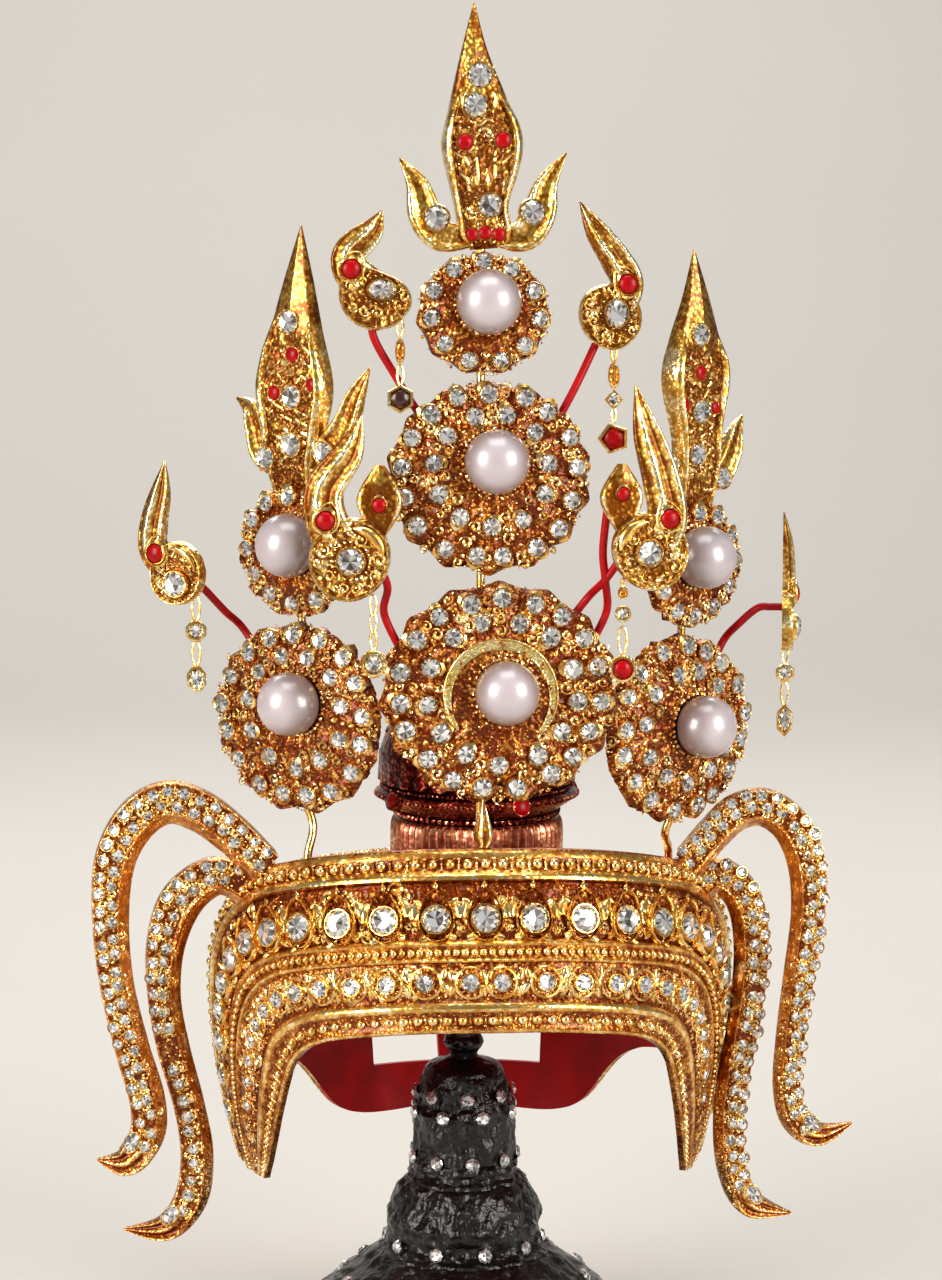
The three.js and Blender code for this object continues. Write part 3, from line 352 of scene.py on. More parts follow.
def skin(bm, around, along, place, material=0, hollow=None):
    """Lays a grid over place(a, t), welds where its sides meet and closes its open ends."""
    # Hollow gives each vertex its tone of painted shade.
    tone = bm.verts.layers.float.get("hollow") or bm.verts.layers.float.new("hollow")
    made = bmesh.ops.create_grid(bm, x_segments=around, y_segments=along, size=0.5)["verts"]
    for face in {face for vert in made for face in vert.link_faces}:
        middle = face.calc_center_median()
        number = material(middle.x + 0.5, middle.y + 0.5) if callable(material) else material
        face.material_index = number
    for vert in made:
        a, t = vert.co.x + 0.5, vert.co.y + 0.5
        vert.co = place(a, t)
        vert[tone] = hollow(a, t) if hollow else 0
    bmesh.ops.remove_doubles(bm, verts=made, dist=0.002)
    made = [vert for vert in made if vert.is_valid]
    ends = {edge for vert in made for edge in vert.link_edges if edge.is_boundary}
    if ends:
        bmesh.ops.holes_fill(bm, edges=list(ends), sides=0)


def sweep(bm, points, radius, sides=8, closed=False, side=None, material=0, squash=1.0):
    """A bar of round or flattened section along points. Radius may be a function of the way along.
    Side is the first axis of its section, which squash flattens."""
    count = len(points)
    spans = count if closed else count - 1
    stations = []
    for i, here in enumerate(points):
        before = points[i - 1] if closed or i else here
        after = points[(i + 1) % count] if closed or i + 1 < count else here
        run = (after - before).normalized()
        side = run.orthogonal() if side is None else side
        side = (side - run * side.dot(run)).normalized()
        stations.append((here, side, run.cross(side)))

    def place(a, t):
        here, side, other = stations[round(t * spans) % count]
        size = radius(t) if callable(radius) else radius
        return here + size * (squash * math.cos(FULL * a) * side + math.sin(FULL * a) * other)

    skin(bm, sides, spans, place, material)


def paced(stations, point_of, pitch_of, travelled=0.0):
    """The stations at which a walk along a curve has gone one more pitch."""
    before = point_of(stations[0])
    for station in stations:
        here = point_of(station)
        travelled += (here - before).length
        before = here
        if travelled >= pitch_of(station):
            travelled -= pitch_of(station)
            yield station


def turn(bm, outline, sides, closed=False):
    """Spins an outline of (radius, height) points about the z axis of a new mesh."""
    verts = [bm.verts.new((radius, 0, height)) for radius, height in outline]
    ends = list(zip(verts, verts[1:])) + ([(verts[-1], verts[0])] if closed else [])
    edges = [bm.edges.new(pair) for pair in ends]
    bmesh.ops.spin(bm, geom=verts + edges, cent=(0, 0, 0), axis=(0, 0, 1), dvec=(0, 0, 0),
                   angle=FULL, steps=sides, use_merge=True, use_duplicate=False)
    bmesh.ops.remove_doubles(bm, verts=bm.verts[:], dist=0.002)


def settle(bm, crisp):
    """Turns faces outwards and keeps edges sharper than crisp degrees crisp."""
    bmesh.ops.recalc_face_normals(bm, faces=bm.faces[:])
    limit = math.radians(crisp)
    for face in bm.faces:
        face.smooth = True
    for edge in bm.edges:
        edge.smooth = edge.calc_face_angle(0) < limit


def pattern(name, bm, crisp=40, material=0):
    """Makes a small mesh that is stamped many times. Material is the number of its finish."""
    settle(bm, crisp)
    for face in bm.faces:
        face.material_index = material
    mesh = bpy.data.meshes.new(name)
    bm.to_mesh(mesh)
    bm.free()
    return mesh


def stamp(bm, mesh, place):
    """Adds a copy of a pattern, moved by a matrix."""
    copy = mesh.copy()
    copy.transform(place)
    bm.from_mesh(copy)
    bpy.data.meshes.remove(copy)


def seat(point, outward, up=UP, size=1.0, roll=0.0):
    """Puts a pattern's foot on a point. Its z axis runs outward and its y axis leans towards up."""
    z = outward.normalized()
    y = (up - z * z.dot(up)).normalized()
    axes = Matrix((y.cross(z), y, z)).transposed().to_4x4()
    return Matrix.Translation(point) @ axes @ Matrix.Rotation(roll, 4, "Z") @ Matrix.Scale(size, 4)


def piece(name, bm, finishes, slot, *nodes, crisp=40, facets=False):
    """Finishes a piece: brings it to metres, gives it its materials and lets it ride on the crown.
    Crisp is in degrees, and facets gives each face a tone of its own for painted glints and painted
    shade."""
    settle(bm, crisp)
    if facets:
        shine = bm.faces.layers.float.new("facet")
        for face in bm.faces:
            face[shine] = chance.random()
    bmesh.ops.scale(bm, vec=(MM, MM, MM), verts=bm.verts[:])
    mesh = bpy.data.meshes.new(name)
    bm.to_mesh(mesh)
    bm.free()
    for finish in finishes:
        mesh.materials.append(finish)
    made = bpy.data.objects.new(name, mesh)
    scene.collection.objects.link(made)
    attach(made, "root")
    if nodes:
        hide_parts(*nodes)


def crystals(name, bm, *nodes):
    """Finishes a piece of rhinestones."""
    piece(name, bm, [crystal], "clear_crystal", *nodes, crisp=0, facets=True)


def reds(name, bm, *nodes):
    """Finishes a piece of red cabochons."""
    piece(name, bm, [red_glass], "red_glass", *nodes, crisp=70)


def turned_frame(x, y, height, angle):
    """Where a casting stands, turned by degrees about the upright."""
    return Matrix.Translation((x, y, height)) @ Matrix.Rotation(math.radians(angle), 4, "Z")


def behind(holder, point, distance):
    """A point of a casting's back plane, in the crown's axes, a distance behind it."""
    return holder @ Vector((point[0], distance, point[1]))


# ---------------------------------------------------------------- finishes


def colour(code):
    """A linear colour from an sRGB hex value."""
    parts = [int(code[i:i + 2], 16) / 255 for i in (1, 3, 5)]
    linear = [p / 12.92 if p <= 0.04045 else ((p + 0.055) / 1.055) ** 2.4 for p in parts]
    return (*linear, 1)


def add(tree, kind, settings=None, links=None):
    """Adds a node. Settings are its properties, its sockets' values or a ramp's stops."""
    made = tree.nodes.new("ShaderNode" + kind)
    for key, value in (settings or {}).items():
        if key == "stops":
            ramp = made.color_ramp
            for spot, (at, tint) in enumerate(value):
                stop = ramp.elements[spot] if spot < 2 else ramp.elements.new(at)
                stop.position, stop.color = at, tint
        elif isinstance(key, str) and key[0].islower():
            setattr(made, key, value)
        else:
            made.inputs[key].default_value = value
    for key, source in (links or {}).items():
        tree.links.new(source, made.inputs[key])
    return made


def new_finish(name):
    """An empty material, its tree and the place on the object, in metres."""
    finish = bpy.data.materials.new(name)
    finish.use_nodes = True
    tree = finish.node_tree
    tree.nodes.clear()
    return finish, tree, add(tree, "TexCoord").outputs["Object"]


def attribute(tree, name):
    """A painted tone kept on the mesh: hollow, painted shade on its vertices, and facet, painted
    glints on its faces.
    """
    return add(tree, "Attribute", {"attribute_name": name}).outputs["Fac"]


def clouds(tree, place, size, detail):
    """Soft noise whose patches are about size millimetres wide."""
    return add(tree, "TexNoise", {"Scale": 1 / (size * MM), "Detail": detail},
               {"Vector": place}).outputs["Fac"]


def remap(tree, value, low, high, to_low, to_high):
    """Brings the range from low to high onto another, and holds it there."""
    return add(tree, "MapRange", {"From Min": low, "From Max": high, "To Min": to_low,
                                  "To Max": to_high}, {"Value": value}).outputs["Result"]


def coat(tree, settings, links):
    """Closes a finish with the shader that its surface has."""
    shader = add(tree, "BsdfPrincipled", settings, links)
    add(tree, "OutputMaterial", {}, {"Surface": shader.outputs["BSDF"]})
    return shader


def gilding(name, crest, body, hollow, roughness, grain, bite, lacquer=0.3):
    """Gold plate over a brass casting. Crest, body and hollow are its tones from high to low: the
    crest is painted highlight on raised parts, the hollow painted red-brown shade in recesses.
    Grain is the size of the casting's grains and bite how far they stand out, in millimetres.
    Lacquer is the weight of the clear coat, which whitens the sparkle."""
    finish, tree, place = new_finish(name)
    grains = add(tree, "TexVoronoi", {"Scale": 1 / (grain * MM)},
                 {"Vector": place}).outputs["Distance"]
    # Painted shade from the hollow tone and the grains' gaps, plus a slow cloudy change of tone.
    grain_gap_shade = remap(tree, grains, 0.25, 0.75, 0.0, 0.5)
    wear = remap(tree, clouds(tree, place, 7, 3.0), 0.35, 0.68, -0.2, 0.34)
    deep = add(tree, "Math", {"operation": "ADD"}, {0: grain_gap_shade, 1: wear})
    depth = add(tree, "Math", {"operation": "ADD", "use_clamp": True},
                {0: deep.outputs[0], 1: attribute(tree, "hollow")}).outputs[0]
    # Pale crests as painted highlight, red-brown hollows as painted shade.
    tint = add(tree, "ValToRGB", {"stops": [(0.0, colour(crest)), (1.0, colour(hollow)),
                                            (0.42, colour(body))]}, {"Fac": depth})
    relief = remap(tree, grains, 0.0, 0.7, 1.0, 0.0)
    rise = add(tree, "Math", {"operation": "MULTIPLY_ADD", 1: 0.35},
               {0: clouds(tree, place, 0.9, 2.0), 2: relief})
    bump = add(tree, "Bump", {"Strength": 1.0, "Distance": bite * MM}, {"Height": rise.outputs[0]})
    coat(tree, {"Metallic": 1.0, "Coat Weight": lacquer, "Coat Roughness": 0.12},
         {"Base Color": tint.outputs["Color"], "Normal": bump.outputs["Normal"],
          "Roughness": remap(tree, depth, 0.0, 1.0, roughness, roughness + 0.22)})
    return finish


def glazing(name, tone, cloud_tone, cloud_size, share, roughness, gloss, clear=0.0, bite=0.0):
    """A smooth coat such as lacquer or paste, clouded with a share of a second tone. Clear is the
    weight of the clear coat and bite how deep its unevenness goes, in millimetres."""
    finish, tree, place = new_finish(name)
    cloud = clouds(tree, place, cloud_size, 3.0)
    tint = add(tree, "Mix", {"data_type": "RGBA", 6: colour(tone), 7: colour(cloud_tone)},
               {0: remap(tree, cloud, 0.35, 0.7, 0.0, share)})
    shader = coat(tree, {"Specular IOR Level": gloss, "Coat Weight": clear, "Coat Roughness": 0.1},
                  {"Base Color": tint.outputs[2],
                   "Roughness": remap(tree, cloud, 0.0, 1.0, roughness, roughness + 0.15)})
    if bite:
        bump = add(tree, "Bump", {"Strength": 1.0, "Distance": bite * MM},
                   {"Height": clouds(tree, place, 3.5, 4.0)})
        for socket in ("Normal", "Coat Normal"):
            tree.links.new(bump.outputs["Normal"], shader.inputs[socket])
    return finish


def nacre_dip(name, white, rose, seat_shade):
    """Nacre on glass: silky, clouded with rose, and painted darker towards the seat as shade."""
    finish, tree, place = new_finish(name)
    bloom = add(tree, "Mix", {"data_type": "RGBA", 6: colour(white), 7: colour(rose)},
                {0: clouds(tree, place, 9, 3.0)})
    tint = add(tree, "Mix", {"data_type": "RGBA", 7: colour(seat_shade)},
               {0: attribute(tree, "hollow"), 6: bloom.outputs[2]})
    coat(tree, {"Roughness": 0.36, "IOR": 1.6, "Specular IOR Level": 1.0, "Coat Weight": 1.0,
                "Coat Roughness": 0.2}, {"Base Color": tint.outputs[2]})
    return finish


def cut_glass(name, bright, middle, dark, dark_share, roughness):
    """Foil-backed cut glass: each facet is painted a fixed tone, bright, middle or dark, as painted
    glints and reflections of the foil.
    """
    finish, tree, _ = new_finish(name)
    tint = add(tree, "ValToRGB",
               {"stops": [(0.0, colour(dark)), (1.0, colour(bright)), (dark_share, colour(middle)),
                          (dark_share + 0.2, colour(bright))]}, {"Fac": attribute(tree, "facet")})
    coat(tree, {"Metallic": 0.7, "Roughness": roughness, "Coat Weight": 1.0, "Coat Roughness": 0.02,
                "Coat IOR": 1.52}, {"Base Color": tint.outputs["Color"]})
    return finish


# Cast brass, gilded and left with its sand grain: warm and lively, with painted red-brown shade in
# the hollows.
cast_gilt = gilding("gilt_sand_cast_brass", "#FFE3A6", "#CB8430", "#6C2A06", 0.2, 1.2, 0.22)
# The flames' and ornaments' plate, thinner over the brass: yellower, with painted brown shade in
# the hollows.
leaf_gilt = gilding("gilt_chased_brass", "#FFF6CC", "#D6A84A", "#784008", 0.2, 1.6, 0.16)
# Plate burnished on rims, beads and scrolls: even, with only a faint grain, and painted lighter as
# highlight on these raised parts.
bright_gilt = gilding("gilt_burnished_brass_painted_highlight", "#FFECB0", "#E6B65E", "#A05C14", 0.15, 2.2, 0.1)
# The ribbon round the lowest pearl: paler, greenish gold leaf.
pale_gilt = gilding("gilt_pale_leaf", "#FFF4BC", "#EFD078", "#A87A2C", 0.22, 1.0, 0.14)
# The arms' smooth inner walls: deep orange, a painted reflection of the walls mirroring one
# another.
reflection_wall_gilt = gilding("gilt_smooth_cast_brass_painted_reflection", "#F4B860", "#CE8230", "#8A4210", 0.2, 2.2, 0.12)
# Red gold on the topknot, red lacquered and painted darker than the rest as shade, without a clear
# coat.
red_gilt = gilding("gilt_red_lacquered_brass_painted_shade", "#C8785A", "#6A1C18", "#240606", 0.14, 1.9, 0.3, 0.0)
# Rose gold plate on the topknot's fluted ring.
rose_gilt = gilding("gilt_rose_brass", "#FFD2AC", "#DC9C76", "#8A4430", 0.18, 2.0, 0.08)
# Rhinestones: lead crystal on silver foil, its facets painted bright and dark as glints and
# reflections.
crystal = cut_glass("crystal_on_silver_foil", "#E8EAEC", "#B2B0AC", "#544C46", 0.44, 0.14)
# Amber paste in three of the drops, its facets painted bright and dark as glints and reflections.
amber_glass = cut_glass("amber_paste_glass", "#F0A030", "#B86818", "#5A2408", 0.3, 0.1)
# Red paste cabochons, nearly opaque.
red_glass = glazing("red_paste_glass", "#A60006", "#6E0006", 2.5, 0.7, 0.2, 0.2)
# Dark garnet paste in a hanging bezel.
garnet_glass = glazing("garnet_paste_glass", "#34100E", "#1E0406", 2.5, 0.7, 0.2, 0.5, 0.4)
# Half pearls of glass dipped in nacre: silky, faintly pink, with painted shade where they sit.
nacre = nacre_dip("nacre_dipped_glass", "#B4ACB2", "#A6989D", "#6E5A58")
# Spring wires wound with silk and dipped in red lacquer.
red_lacquer = glazing("red_lacquered_wire", "#AA0006", "#7E0006", 3.0, 0.6, 0.3, 0.2)
# The band's lining, painted red.
red_paint = glazing("red_lining_paint", "#C4060E", "#86040A", 12.0, 0.7, 0.36, 0.4)
# The stand: turned wood under black lacquer.
black_lacquer = glazing("black_lacquered_wood", "#060505", "#120E0C", 14.0, 0.6, 0.2, 0.3,
                        clear=0.25, bite=1.2)


# ---------------------------------------------------------------- small patterns, of unit size


def ball_pattern(name, subdivisions, material):
    """A ball of radius 1, in flat triangles that smooth shading hides."""
    bm = bmesh.new()
    bmesh.ops.create_icosphere(bm, subdivisions=subdivisions, radius=1)
    return pattern(name, bm, 180, material)


def bezel_pattern():
    """A collar that grips a round stone of radius 1."""
    bm = bmesh.new()
    section = [(0.96, -0.5), (0.96, 0.3), (1.0, 0.4), (1.06, 0.4), (1.12, 0.24), (1.17, -0.5)]
    turn(bm, section, 14, closed=True)
    return pattern("bezel", bm, 60, 1)


def cup_pattern():
    """A solid setting for a round stone of radius 1, its thin rim drawn to a point at +y."""
    bm = bmesh.new()
    # Tone is painted shade, deepest at the setting's foot and lightest on its rim.
    rings = table("reach height point tone", (0.97, 0.2, 0, 0.5), (1.03, 0.44, 0.1, 0),
                  (1.11, 0.3, 0.42, 0.1), (1.18, -0.9, 0.52, 0.9))

    def place(a, t):
        angle, ring = FULL * a, rings[round(3 * t)]
        reach = ring["reach"] + ring["point"] * max(0, math.cos(angle)) ** 6
        return Vector((reach * math.sin(angle), reach * math.cos(angle), ring["height"]))

    skin(bm, 14, 3, place, 0, lambda a, t: rings[round(3 * t)]["tone"])
    made = pattern("cup", bm, 50)
    for face in made.polygons:
        face.material_index = int(face.center.z > 0.2)
    return made


def cabochon_pattern():
    """A smooth dome of radius 1."""
    bm = bmesh.new()
    angles = [math.pi / 8 * i for i in range(4)]
    outline = [(math.cos(angle), 0.2 + 0.5 * math.sin(angle)) for angle in angles]
    turn(bm, [(0, 0), (1, 0)] + outline + [(0, 0.7)], 12)
    return pattern("cabochon", bm, 70)


def boss_pattern():
    """A smooth low dome of radius 1, in the deep tone."""
    bm = bmesh.new()

    def place(a, t):
        return Vector((t * math.sin(FULL * a), t * math.cos(FULL * a), 0.5 - 0.5 * t * t))

    skin(bm, 14, 4, place, 0, lambda a, t: 0.5 if t < 0.3 else 0.8)
    return pattern("boss", bm, 80)


def hoop_pattern():
    """A thin raised ring of radius 1."""
    bm = bmesh.new()
    sweep(bm, [Vector((x, y, 0)) for x, y in circle(20)], 0.09, sides=5, closed=True, side=UP)
    return pattern("hoop", bm, 60, 1)


def brilliant_pattern(sides=8):
    """A round stone of radius 1, cut in facets about a flat table."""
    bm = bmesh.new()
    made = bmesh.ops.create_cone(bm, cap_ends=True, cap_tris=False, segments=sides, radius1=1,
                                 radius2=0.6, depth=0.42)["verts"]
    bmesh.ops.translate(bm, verts=made, vec=(0, 0, 0.45))
    table_face = max(bm.faces, key=lambda face: face.calc_center_median().z)
    slopes = [face for face in bm.faces if len(face.verts) == 4]
    bmesh.ops.poke(bm, faces=slopes, offset=0.05)
    bmesh.ops.poke(bm, faces=[table_face], offset=-0.07)
    return pattern("brilliant", bm, 0)


def teardrop_pattern():
    """A thin raised rim round a setting, drawn out to a point on its +y side."""
    bm = bmesh.new()
    rim = []
    for x, y in circle(16):
        reach = 1.34 + 0.6 * max(0, y) ** 6
        rim.append(Vector((reach * x, reach * y, 0.1)))
    sweep(bm, rim, 0.1, sides=5, closed=True, side=UP)
    return pattern("teardrop_rim", bm, 60, 1)


def volute_pattern():
    """A scroll of the chased relief, which thickens, rolls up and ends in a point."""
    bm = bmesh.new()
    line = []
    for i in range(17):
        share = i / 16
        angle = 1.15 * FULL * share
        reach = 0.22 + 0.78 * share ** 1.2
        line.append(Vector((reach * math.cos(angle), reach * math.sin(angle), 0.1)))
    sweep(bm, line, lambda t: 0.24 * (1 - t ** 3) + 0.02, sides=5, side=UP)
    return pattern("volute", bm, 70, 1)


def leaflet_pattern():
    """A small pointed leaf with a crest, one long and standing on the ground's z = 0."""
    bm = bmesh.new()

    def place(a, t):
        across = math.cos(FULL * a)
        half = 0.34 * math.sin(math.pi * min(1, t + 0.12) ** 0.8) ** 0.7 if t < 1 else 0
        crest = (0.3 * (1 - abs(across)) ** 0.7 + 0.05) * (1 - 0.6 * t)
        return Vector((across * half, t, crest if math.sin(FULL * a) > -0.01 else -0.1))

    skin(bm, 10, 8, place)
    return pattern("leaflet", bm, 35, 1)


granule = ball_pattern("granule", 1, 0)
bead = ball_pattern("bead", 2, 1)
boss = boss_pattern()
hoop = hoop_pattern()
cup = cup_pattern()
cabochon = cabochon_pattern()
bezel = bezel_pattern()
brilliant = brilliant_pattern()
fine_brilliant = brilliant_pattern(12)
teardrop = teardrop_pattern()
volute = volute_pattern()
leaflet = leaflet_pattern()


PATTERNS = (granule, bead, boss, hoop, cup, cabochon, bezel, brilliant, fine_brilliant, teardrop,
            volute, leaflet)
FINE_CUT_FROM = 2.8  # radius from which a stone is cut with more sides


def set_stone(gold, stones, place, radius):
    """Sets a round stone in its collar."""
    size = place @ Matrix.Scale(radius, 4)
    stamp(gold, bezel, size)
    cut = fine_brilliant if radius > FINE_CUT_FROM else brilliant
    stamp(stones, cut, size @ Matrix.Rotation(chance.random() * FULL, 4, "Z"))


def dot(bm, spot, size):
    """A granule at a spot."""
    stamp(bm, granule, Matrix.Translation(spot) @ Matrix.Scale(size, 4))


def place_at(place, x, y, size=1.0, roll=0.0, lift=0.0):
    """A spot beside a placed pattern, on the same ground."""
    spot = Matrix.Translation((x, y, lift)) @ Matrix.Rotation(roll, 4, "Z") @ Matrix.Scale(size, 4)
    return place @ spot


def new_mesh():
    """An empty mesh that keeps a tone of painted shade on each vertex."""
    bm = bmesh.new()
    bm.verts.layers.float.new("hollow")
    return bm


# ---------------------------------------------------------------- band round the head


def swell(height):
    """How far the barrel-shaped wall draws in at a height, below zero."""
    rise = height - BAND["widest"]
    return -rise * rise / (2 * (BAND["upper_bow"] if rise > 0 else BAND["lower_bow"]))


def wall_point(angle, height, lift):
    """A point of the barrel-shaped wall. Angle is from the middle of the front, towards +x."""
    grow = swell(height) + lift
    angle = math.radians(angle)
    return Vector(((BAND["half_width"] + grow) * math.sin(angle),
                   -(BAND["half_depth"] + grow) * math.cos(angle), height))


def wall_share(point):
    """How far out a point stands, as a share of the wall's radius there."""
    grow = swell(point.z)
    return math.hypot(point.x / (BAND["half_width"] + grow), point.y / (BAND["half_depth"] + grow))


def frontlet_point(station, across, lift):
    """A point of the frontlet: station from the middle, negative to the left, and share across."""
    outer_angle, outer_height, inner_angle, inner_height = follow(
        FRONTLET, abs(station), "outer_angle", "outer_height", "inner_angle", "inner_height")
    angle = math.copysign(mix(outer_angle, inner_angle, across), station)
    return wall_point(angle, mix(outer_height, inner_height, across), lift)


def frontlet_seat(station, across, lift=0.0, size=1.0, roll=0.0):
    """Puts a pattern's foot on the frontlet, its y axis towards the rim."""
    right, left, above, below = (
        frontlet_point(station + beside, across + below, lift)
        for beside, below in ((0.06, 0), (-0.06, 0), (0, -0.02), (0, 0.02)))
    along, up = right - left, above - below
    return seat(frontlet_point(station, across, lift), along.cross(up), up, size, roll)


CHASING = {"ridges": 2.7, "grain": 1.3, "sharpness": 4.5}
FRONTLET_LAST = len(FRONTLET) - 1
# Rough millimetres of a station and of the strip's width: of the chasing, and between stones.
CHASED_SIZE = {"station": 24, "across": 62}
FIELD_SIZE = {"station": 21, "across": 55}
PAINT_FROM = 0.8  # share of the wall's thickness behind which it is painted
BRIGHT_FROM = 0.55  # lift from which a moulding is burnished and painted lighter as highlight
FRONTLET_RELIEF = 1.1  # height of the chased ridges
STONE_LIFT = -0.7
TABS_FROM = 3.5  # station from which the set stones grow smaller


def chasing(x, y, seed):
    """Height of the chaser's relief, from 0 in its ground to 1 on its thin winding ridges."""
    fold = noise.noise(Vector((x / CHASING["ridges"], y / CHASING["ridges"], seed)))
    fine = noise.noise(Vector((x / CHASING["grain"], y / CHASING["grain"], seed + 9)))
    return max(0, 1 - abs(fold) * CHASING["sharpness"]) * 0.75 + 0.35 * max(0, fine)


def slim(station):
    """How far the mouldings shrink where the strip narrows into its tabs."""
    return 1 - 0.5 * ease(5, 9.3, abs(station))


def frontlet_section():
    """Rows across the strip: mouldings and chased fields from rim to arch, then back behind."""
    section = []
    for here, ahead in zip(MOULDINGS, MOULDINGS[1:]):
        cuts = next((field["cuts"] for field in FIELDS if field["first"] == here["across"]), 1)
        for i in range(cuts):
            row = {key: mix(here[key], ahead[key], i / cuts) for key in here}
            section.append({**row, "chased": cuts > 1 and i > 0})
    section.append({**MOULDINGS[-1], "chased": False})
    return section + [{"across": 1 - i / 8, "lift": -BAND["wall"], "hollow": 0.4, "chased": False}
                      for i in range(9)]


def frontlet():
    """The strip itself: mouldings along its edges, chased fields between them, red paint behind."""
    gold = new_mesh()
    section = frontlet_section()
    count = len(section)

    def spot(a, t):
        """The row and the station of a spot, and how high its chased ridge stands."""
        row, station = section[round(a * count) % count], FRONTLET_LAST * (2 * t - 1)
        if not row["chased"]:
            return row, station, 0
        return row, station, chasing(station * CHASED_SIZE["station"],
                                     row["across"] * CHASED_SIZE["across"], 0)

    def place(a, t):
        row, station, ridge = spot(a, t)
        on_face = row["lift"] > -1
        lift = row["lift"] * (slim(station) if on_face else 1) + FRONTLET_RELIEF * ridge
        return frontlet_point(station, row["across"], lift)

    # Painted shade in the chased fields' ground, lighter on their ridges as painted highlight.
    def tone(a, t):
        row, station, ridge = spot(a, t)
        return row["hollow"] + (0.35 - 1.05 * ridge if row["chased"] else 0.06)

    skin(gold, count, 720, place, 0, tone)
    for face in gold.faces:
        lift = (wall_share(face.calc_center_median()) - 1) * BAND["half_width"]
        face.material_index = 2 if lift < -PAINT_FROM * BAND["wall"] else int(lift > BRIGHT_FROM)
    return gold


def bead_rows(gold):
    """Rows of beads along the mouldings. Between large beads stand upright bars with round caps."""
    stations = [0.995 * FRONTLET_LAST * (i / 1500 - 1) for i in range(3001)]
    for row in BEAD_ROWS:
        walk = paced([-FRONTLET_LAST] + stations,
                     lambda station: frontlet_point(station, row["across"], 0),
                     lambda station: row["pitch"] * slim(station) / 2)
        for spot, station in enumerate(walk):
            size = row["radius"] * chance.uniform(0.92, 1.06) * slim(station)
            lift = row["lift"] * slim(station)
            if spot % 2 == 0:
                stamp(gold, bead, frontlet_seat(station, row["across"], lift, size))
            elif row["radius"] > 1.5:
                bar = frontlet_seat(station, row["across"], lift)
                stamp(gold, granule, bar @ Matrix.Diagonal((0.62, 1.15 * size, 0.8, 1)))
                for end in (-1, 1):
                    cap = place_at(bar, 0, end * 1.05 * size)
                    stamp(gold, bead, cap @ Matrix.Diagonal((0.85, 0.45, 0.75, 1)))


# Leaves on each side of a large stone, in its radii; the other side's are their mirror.
FLAME_LEAVES = table("across up size roll", (1.62, 0.1, 1.5, 0.12), (1.05, 1.1, 0.8, -0.9),
                     (1.3, -1.35, 0.9, 1.2))


def flames_round(gold, place, radius):
    """A pointed rim with a drop and a leaf above it, and leaves and a scroll on each side."""
    rim = place_at(place, 0, 0, radius, 0, 0.3)
    stamp(gold, teardrop, rim @ Matrix.Diagonal((0.93, 1.12, 3, 1)))
    above = place_at(place, 0, 1.75 * radius, 0.46 * radius, 0, 0.5)
    stamp(gold, boss, above @ Matrix.Diagonal((1, 1.15, 1.4, 1)))
    stamp(gold, hoop, above @ Matrix.Diagonal((1.08, 1.24, 3, 1)))
    stamp(gold, leaflet, place_at(place, 0, 2.2 * radius, 0.62 * radius, 0, 0.2))
    for lean in (-1, 1):
        for row in FLAME_LEAVES:
            stamp(gold, leaflet, place_at(place, lean * row["across"] * radius, row["up"] * radius,
                                          row["size"] * radius, lean * row["roll"]))
        stamp(gold, volute, place_at(place, lean * 1.55 * radius, -0.6 * radius, 0.3 * radius,
                                     1.2 * lean, 0.2))


def flower_round(gold, place, radius):
    """A ring of granules within a hoop, and a pair of leaves on each side."""
    stamp(gold, hoop, place_at(place, 0, 0, 1.72 * radius, 0, 0.5))
    for x, y in circle(12, 1.42 * radius, 0.5):
        stamp(gold, granule, place_at(place, x, y, chance.uniform(0.45, 0.65), 0, 0.2))
    for lean in (-1, 1):
        for up in (-1, 1):
            roll = -0.35 * lean * up + (math.pi if up < 0 else 0)
            stamp(gold, leaflet, place_at(place, lean * 1.95 * radius, up * 0.35 * radius,
                                          1.3 * radius, roll))


def frontlet_settings(gold, stones):
    """Both rows of set stones. They are a little smaller on the tabs."""
    for row, surround in zip(FRONTLET_STONES, (flames_round, flower_round)):
        for i in range(row["per_side"]):
            away = row["first"] + i * row["pitch"]
            for station in ((away, -away) if away else (0,)):
                radius = row["radius"] * (1 - 0.07 * max(0, away - TABS_FROM))
                place = frontlet_seat(station, row["across"], STONE_LIFT)
                set_stone(gold, stones, place_at(place, 0, 0, 1, 0, 0.3 * radius), radius)
                surround(gold, place, radius)


def frontlet_grains(gold):
    """Fine grains and bright flecks strewn in the two recessed fields."""

    def strewn(field, first, last):
        return (FRONTLET_LAST * (2 * chance.random() - 1),
                mix(field["first"] + first, field["last"] - last, chance.random()))

    for field, row in zip(FIELDS, FRONTLET_STONES):
        settings = [row["first"] + i * row["pitch"] for i in range(row["per_side"])]
        for _ in range(COUNTS["frontlet_flecks"]):
            station, across = strewn(field, 0.02, 0.02)
            beside = FIELD_SIZE["station"] * min(abs(abs(station) - stone) for stone in settings)
            above = (across - row["across"]) * FIELD_SIZE["across"]
            if math.hypot(beside, above) >= 1.5 * row["radius"]:
                shape = chance.choice((leaflet, leaflet, volute))
                stamp(gold, shape, frontlet_seat(station, across, -0.4, chance.uniform(1.8, 3.4),
                                                 chance.uniform(0, FULL)))
        for _ in range(COUNTS["frontlet_grains"]):
            station, across = strewn(field, 0.015, 0.01)
            stamp(gold, granule, frontlet_seat(station, across, -0.3, chance.uniform(0.28, 0.6)))


